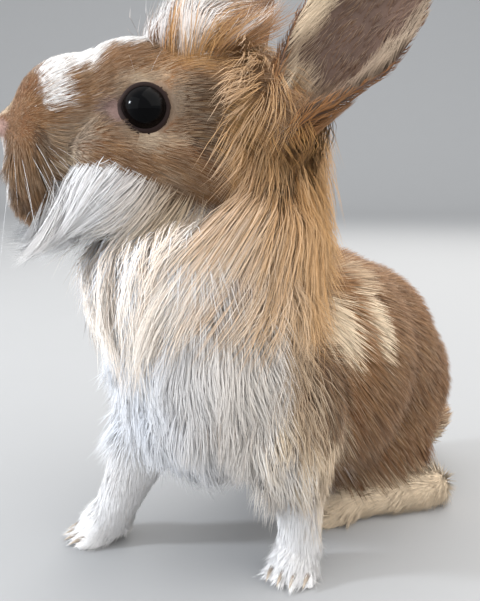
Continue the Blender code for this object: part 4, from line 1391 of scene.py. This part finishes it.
def make_lids(side, material):
    """The lids: a rounded rim over the eyeball that runs out into the skin."""
    matrix = eye_matrix(side)
    around = np.linspace(0, 2 * math.pi, 72, endpoint=False)
    # The corner of the lids in front points to the nose, which is +X for the left eye here.
    ahead = np.cos(around) * -SIDES[side]
    corner = np.exp(-((np.arccos(np.clip(ahead, -1, 1)) / 0.33) ** 2))
    opening = EYE_OPENING + math.radians(2) - 0.05 * np.abs(np.sin(around)) + 0.16 * corner
    outside = opening + math.radians(24) + 0.3 * corner
    rings = []
    for share in np.linspace(0, 1, 7):
        off = opening + (outside - opening) * share
        ways = polar(matrix, np.ones(len(around)), off, around) - np.array(matrix)[:3, 3]
        reach = np.array([skin_reach(matrix, way) for way in ways])
        rim = EYE_RADIUS + 0.1 + 0.85 * math.sin(math.pi * min(share * 1.6, 1)) ** 0.7
        skin = reach + 0.5 * (1 - share) - 0.4 * share
        blend = share**1.5
        rings.append(polar(matrix, rim * (1 - blend) + skin * blend, off, around))
    under = polar(matrix, EYE_RADIUS - 0.5 + 0 * around, opening, around)
    bottom = polar(matrix, EYE_RADIUS - 1.5 + 0 * around, outside, around)
    points = np.concatenate((bottom, under, *rings))
    count = len(around)
    closing = grid_faces(2, count, flip=True)
    closing = np.where(closing >= count, closing + 7 * count, closing)
    faces = np.concatenate((grid_faces(9, count), closing))
    tone = np.repeat((0.0, 0.0, 0.0, 0.12, 0.5, 0.8, 0.9, 1.0, 1.0), count)[:, None]
    dark, pink = np.array(srgb(40, 30, 28)), np.array(srgb(104, 80, 70))
    rim_colour = np.tile(srgb(56, 43, 37), (9 * count, 1))
    rim_colour = mixed(rim_colour, pink, np.tile(corner, 9) * 0.7)
    colour = dark + (rim_colour - dark) * tone
    lid = solid(f"eyelids_{side}", points, faces, colour, plain_uvs(points, (0.95, 0.02)))
    finished(lid, material)


def make_eyes():
    """The two eyes and their lids."""
    gloss = shader("eye", 0.1, specular=0.06, fine=900, depth=0, vary=0.05)
    lid_skin = shader("lid", 0.65, specular=0.08, fine=2600, depth=0.2, vary=0.12)
    for side in SIDES:
        make_eyeball(side, gloss)
        make_lids(side, lid_skin)


def make_whiskers():
    """Long fine white whiskers of the upper lips, and a few over the eyes."""
    dice = rng(8)
    roots, ways, lengths = [], [], []
    for sign in (1, -1):
        for row in range(3):
            for column in range(5):
                roots.append((sign * (9.5 + 1.6 * column), 47 - 3.2 * column, -8 - 3.6 * row))
                ways.append((sign * (0.55 + 0.1 * column), 0.1 - 0.28 * column, -0.6 - 0.3 * row))
                lengths.append(dice.uniform(20, 36))
        for brow in range(2):
            roots.append((sign * 19, 8 - 5 * brow, 15))
            ways.append((sign * 0.8, 0.3 - 0.6 * brow, 0.6))
            lengths.append(dice.uniform(12, 18))
    at, out = nearest(out_of_head(roots))
    way = unit(way_out_of_head(ways) + dice.normal(scale=0.12, size=(len(roots), 3)))
    lines = [at - out * ROOT_DEPTH]
    for _ in range(5):
        lines.append(lines[-1] + way * np.array(lengths)[:, None] / 5)
        way = unit(way + np.array((0, 0, -0.11)))
    white = np.tile(tone_of("white"), (len(roots), 1))
    uv = np.tile((0.5, 0.97), (len(roots), 1)) + dice.uniform(-0.02, 0.02, (len(roots), 2))
    # The whiskers' roots are painted a little darker, as shade where they leave the coat.
    piece = hair_mesh(
        "whiskers", np.stack(lines, 1), out, uv, 0.0026 * np.array(lengths), (white * 0.9, white, white), dice
    )
    finished(piece, shader("whisker", 0.35, specular=0.5, vary=0.04))


def make_claws():
    """Slightly hooked horn claws on every toe."""
    horn = shader("claw horn", 0.4, specular=0.5, fine=1200, depth=0.05, vary=0.2)
    points, faces, colours = [], [], []
    rings, columns = 9, 12
    for side in SIDES:
        fore = [(paw_matrix(side), (4.7 * (n - 1.5), -14 + 1.6 * abs(n - 1.5), -3)) for n in range(4)]
        hind = [(foot_matrix(side), (5 * (n - 1.5), -17 + 1.6 * abs(n - 1.5), -4.5)) for n in (0, 1, 2)]
        for matrix, (x, y, z) in fore + hind:
            share, around = np.meshgrid(
                np.linspace(0, 1, rings), np.linspace(0, 2 * math.pi, columns, endpoint=False), indexing="ij"
            )
            radius = 1.2 * (1 - share**1.6) + 0.06
            along = 3.5 - 6.8 * share
            rise = 0.6 - 2.2 * share**2
            local = np.stack((x + radius * 0.8 * np.cos(around), y + along, z + rise + radius * np.sin(around)), -1)
            start = sum(len(p) for p in points)
            points.append(moved(matrix, local.reshape(-1, 3)))
            grid = grid_faces(rings, columns)
            first, last = np.arange(columns), (rings - 1) * columns + np.arange(columns)
            caps = (first, last[::-1])
            fans = [np.stack((np.full(columns - 2, ring[0]), ring[1:-1], ring[2:]), 1) for ring in caps]
            faces.append(np.concatenate((grid, *fans)) + start)
            colours.append(mixed(np.array(srgb(96, 80, 68)), np.array(srgb(190, 176, 158)), share.ravel()))
    points, faces, colours = (np.concatenate(values) for values in (points, faces, colours))
    points[:, 2] = np.maximum(points[:, 2], 0.1)
    nodes = [f"claw_fore_{side}_{n}" for side in SIDES for n in range(1, 5)]
    nodes += [f"claw_hind_{side}_{n}" for side in SIDES for n in range(1, 4)]
    piece = solid("claws", points, faces, colours, plain_uvs(points, (0.5, 0.02)))
    finished(piece, horn, nodes)


def make_stage():
    """The pale floor, the soft lights and the camera of the photograph's view."""
    mesh = bpy.data.meshes.new("floor")
    rows, size = 40, 3.0
    profile = [(-size, 0.0)]
    for step in range(rows + 1):
        angle = math.pi / 2 * step / rows
        profile.append((size - 1 + math.sin(angle), 1 - math.cos(angle)))
    profile.append((size, 3.0))
    vertices = [tuple(turn(CAMERA_TURN) @ np.array((x, y, z))) for y, z in profile for x in (-size, size)]
    faces = [(2 * i, 2 * i + 1, 2 * i + 3, 2 * i + 2) for i in range(len(profile) - 1)]
    mesh.from_pydata(vertices, [], faces)
    mesh.shade_smooth()
    paint_points(mesh, np.tile(np.array(srgb(156, 156, 156)), (len(vertices), 1)))
    floor = added("floor", mesh)
    mesh.materials.append(shader("floor paper", 0.85, fine=60, depth=0.2, vary=0.015))

    world = bpy.data.worlds.new("studio")
    world.use_nodes = True
    world.node_tree.nodes["Background"].inputs["Color"].default_value = (0.93, 0.96, 1.0, 1)
    world.node_tree.nodes["Background"].inputs["Strength"].default_value = 1.25
    bpy.context.scene.world = world
    bpy.context.scene.view_settings.view_transform = "Standard"

    level = math.cos(CAMERA_DIP)
    look = Vector((-math.sin(CAMERA_TURN) * level, math.cos(CAMERA_TURN) * level, -math.sin(CAMERA_DIP)))
    right = look.cross(Vector((0, 0, 1))).normalized()
    up = right.cross(look)
    aim = Vector((0, 0, 0.12))
    for name, place, watts, size, colour in (
        ("key", right * 0.9 - look * 0.6 + up * 1.1, 36, 2.6, (1, 0.96, 0.91)),
        ("window", -right * 1.3 - look * 0.35 + up * 0.45, 16, 0.16, (0.86, 0.92, 1)),
        ("fill", -right * 1.3 - look * 0.9 + up * 0.2, 11, 1.8, (0.9, 0.95, 1)),
        ("back", look * 0.9 + up * 1.0 + right * 0.3, 10, 0.9, (1, 0.98, 0.95)),
    ):
        data = bpy.data.lights.new(name, "AREA")
        data.energy = watts
        data.size = size
        data.color = colour
        light = added(name, data)
        light.location = aim + place
        light.rotation_euler = (-place).to_track_quat("-Z", "Y").to_euler()

    data = bpy.data.cameras.new("camera")
    data.sensor_width = 36
    data.lens = FOCAL_PIXELS * data.sensor_width / PICTURE_HEIGHT
    data.clip_start = 0.01
    camera = added("camera", data)
    camera.location = Vector(CAMERA_AT) * MM + Vector(shared["shift"])
    camera.rotation_euler = look.to_track_quat("-Z", "Y").to_euler()
    bpy.context.scene.camera = camera


class RABBIT_OT_skin(bpy.types.Operator):
    """Make the skin under the coat, with its ears, lips and folds"""

    bl_idname = "rabbit.skin"
    bl_label = "Skin"

    def execute(self, context):
        make_skin()
        return {"FINISHED"}


class RABBIT_OT_eyes(bpy.types.Operator):
    """Make the eyes and their lids"""

    bl_idname = "rabbit.eyes"
    bl_label = "Eyes"

    def execute(self, context):
        make_eyes()
        return {"FINISHED"}


class RABBIT_OT_beard(bpy.types.Operator):
    """Make the cheek tufts and the forehead tuft"""

    bl_idname = "rabbit.beard"
    bl_label = "Beard and forehead tuft"

    def execute(self, context):
        make_beard()
        return {"FINISHED"}


class RABBIT_OT_mane(bpy.types.Operator):
    """Make the mane"""

    bl_idname = "rabbit.mane"
    bl_label = "Mane"

    def execute(self, context):
        make_mane()
        return {"FINISHED"}


class RABBIT_OT_chest_coat(bpy.types.Operator):
    """Make the coat of the chest"""

    bl_idname = "rabbit.chest_coat"
    bl_label = "Chest coat"

    def execute(self, context):
        make_chest_coat()
        return {"FINISHED"}


class RABBIT_OT_face_coat(bpy.types.Operator):
    """Make the short coat of the face"""

    bl_idname = "rabbit.face_coat"
    bl_label = "Face coat"

    def execute(self, context):
        make_face_coat()
        return {"FINISHED"}


class RABBIT_OT_ear_coat(bpy.types.Operator):
    """Make the coat of the ears"""

    bl_idname = "rabbit.ear_coat"
    bl_label = "Ear coat"

    def execute(self, context):
        make_ear_coat()
        return {"FINISHED"}


class RABBIT_OT_leg_coat(bpy.types.Operator):
    """Make the coat of the legs and feet"""

    bl_idname = "rabbit.leg_coat"
    bl_label = "Leg coat"

    def execute(self, context):
        make_leg_coat()
        return {"FINISHED"}


class RABBIT_OT_back_coat(bpy.types.Operator):
    """Make the coat of the back, the flanks and the tail"""

    bl_idname = "rabbit.back_coat"
    bl_label = "Back coat"

    def execute(self, context):
        make_back_coat()
        return {"FINISHED"}


class RABBIT_OT_whiskers(bpy.types.Operator):
    """Make the whiskers"""

    bl_idname = "rabbit.whiskers"
    bl_label = "Whiskers"

    def execute(self, context):
        make_whiskers()
        return {"FINISHED"}


class RABBIT_OT_claws(bpy.types.Operator):
    """Make the claws"""

    bl_idname = "rabbit.claws"
    bl_label = "Claws"

    def execute(self, context):
        make_claws()
        return {"FINISHED"}


class RABBIT_OT_stage(bpy.types.Operator):
    """Make the floor, the lights and the camera"""

    bl_idname = "rabbit.stage"
    bl_label = "Stage"

    def execute(self, context):
        make_stage()
        return {"FINISHED"}


STEPS = (
    RABBIT_OT_skin, RABBIT_OT_eyes, RABBIT_OT_beard, RABBIT_OT_mane, RABBIT_OT_chest_coat,
    RABBIT_OT_face_coat, RABBIT_OT_ear_coat, RABBIT_OT_leg_coat, RABBIT_OT_back_coat,
    RABBIT_OT_whiskers, RABBIT_OT_claws, RABBIT_OT_stage,
)


class RABBIT_PT_panel(bpy.types.Panel):
    """Sizes, colours and steps of the rabbit"""

    bl_idname = "RABBIT_PT_panel"
    bl_label = "Lionhead rabbit"
    bl_space_type = "VIEW_3D"
    bl_region_type = "UI"
    bl_category = "Rabbit"

    def draw(self, context):
        for name in RabbitLooks.__annotations__:
            self.layout.prop(context.scene.rabbit_looks, name)
        for step in STEPS:
            self.layout.operator(step.bl_idname)


def register():
    for kind in (RabbitLooks, *STEPS, RABBIT_PT_panel):
        bpy.utils.register_class(kind)
    bpy.types.Scene.rabbit_looks = PointerProperty(type=RabbitLooks)


def unregister():
    del bpy.types.Scene.rabbit_looks
    for kind in (RABBIT_PT_panel, *STEPS[::-1], RabbitLooks):
        bpy.utils.unregister_class(kind)


def main():
    register()
    low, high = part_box("eye_left")
    shared["shift"] = np.array((low + high) / 2) - EYE_SPOT * MM
    for step in STEPS:
        group, name = step.bl_idname.split(".")
        getattr(getattr(bpy.ops, group), name)()


if __name__ == "__main__":
    main()
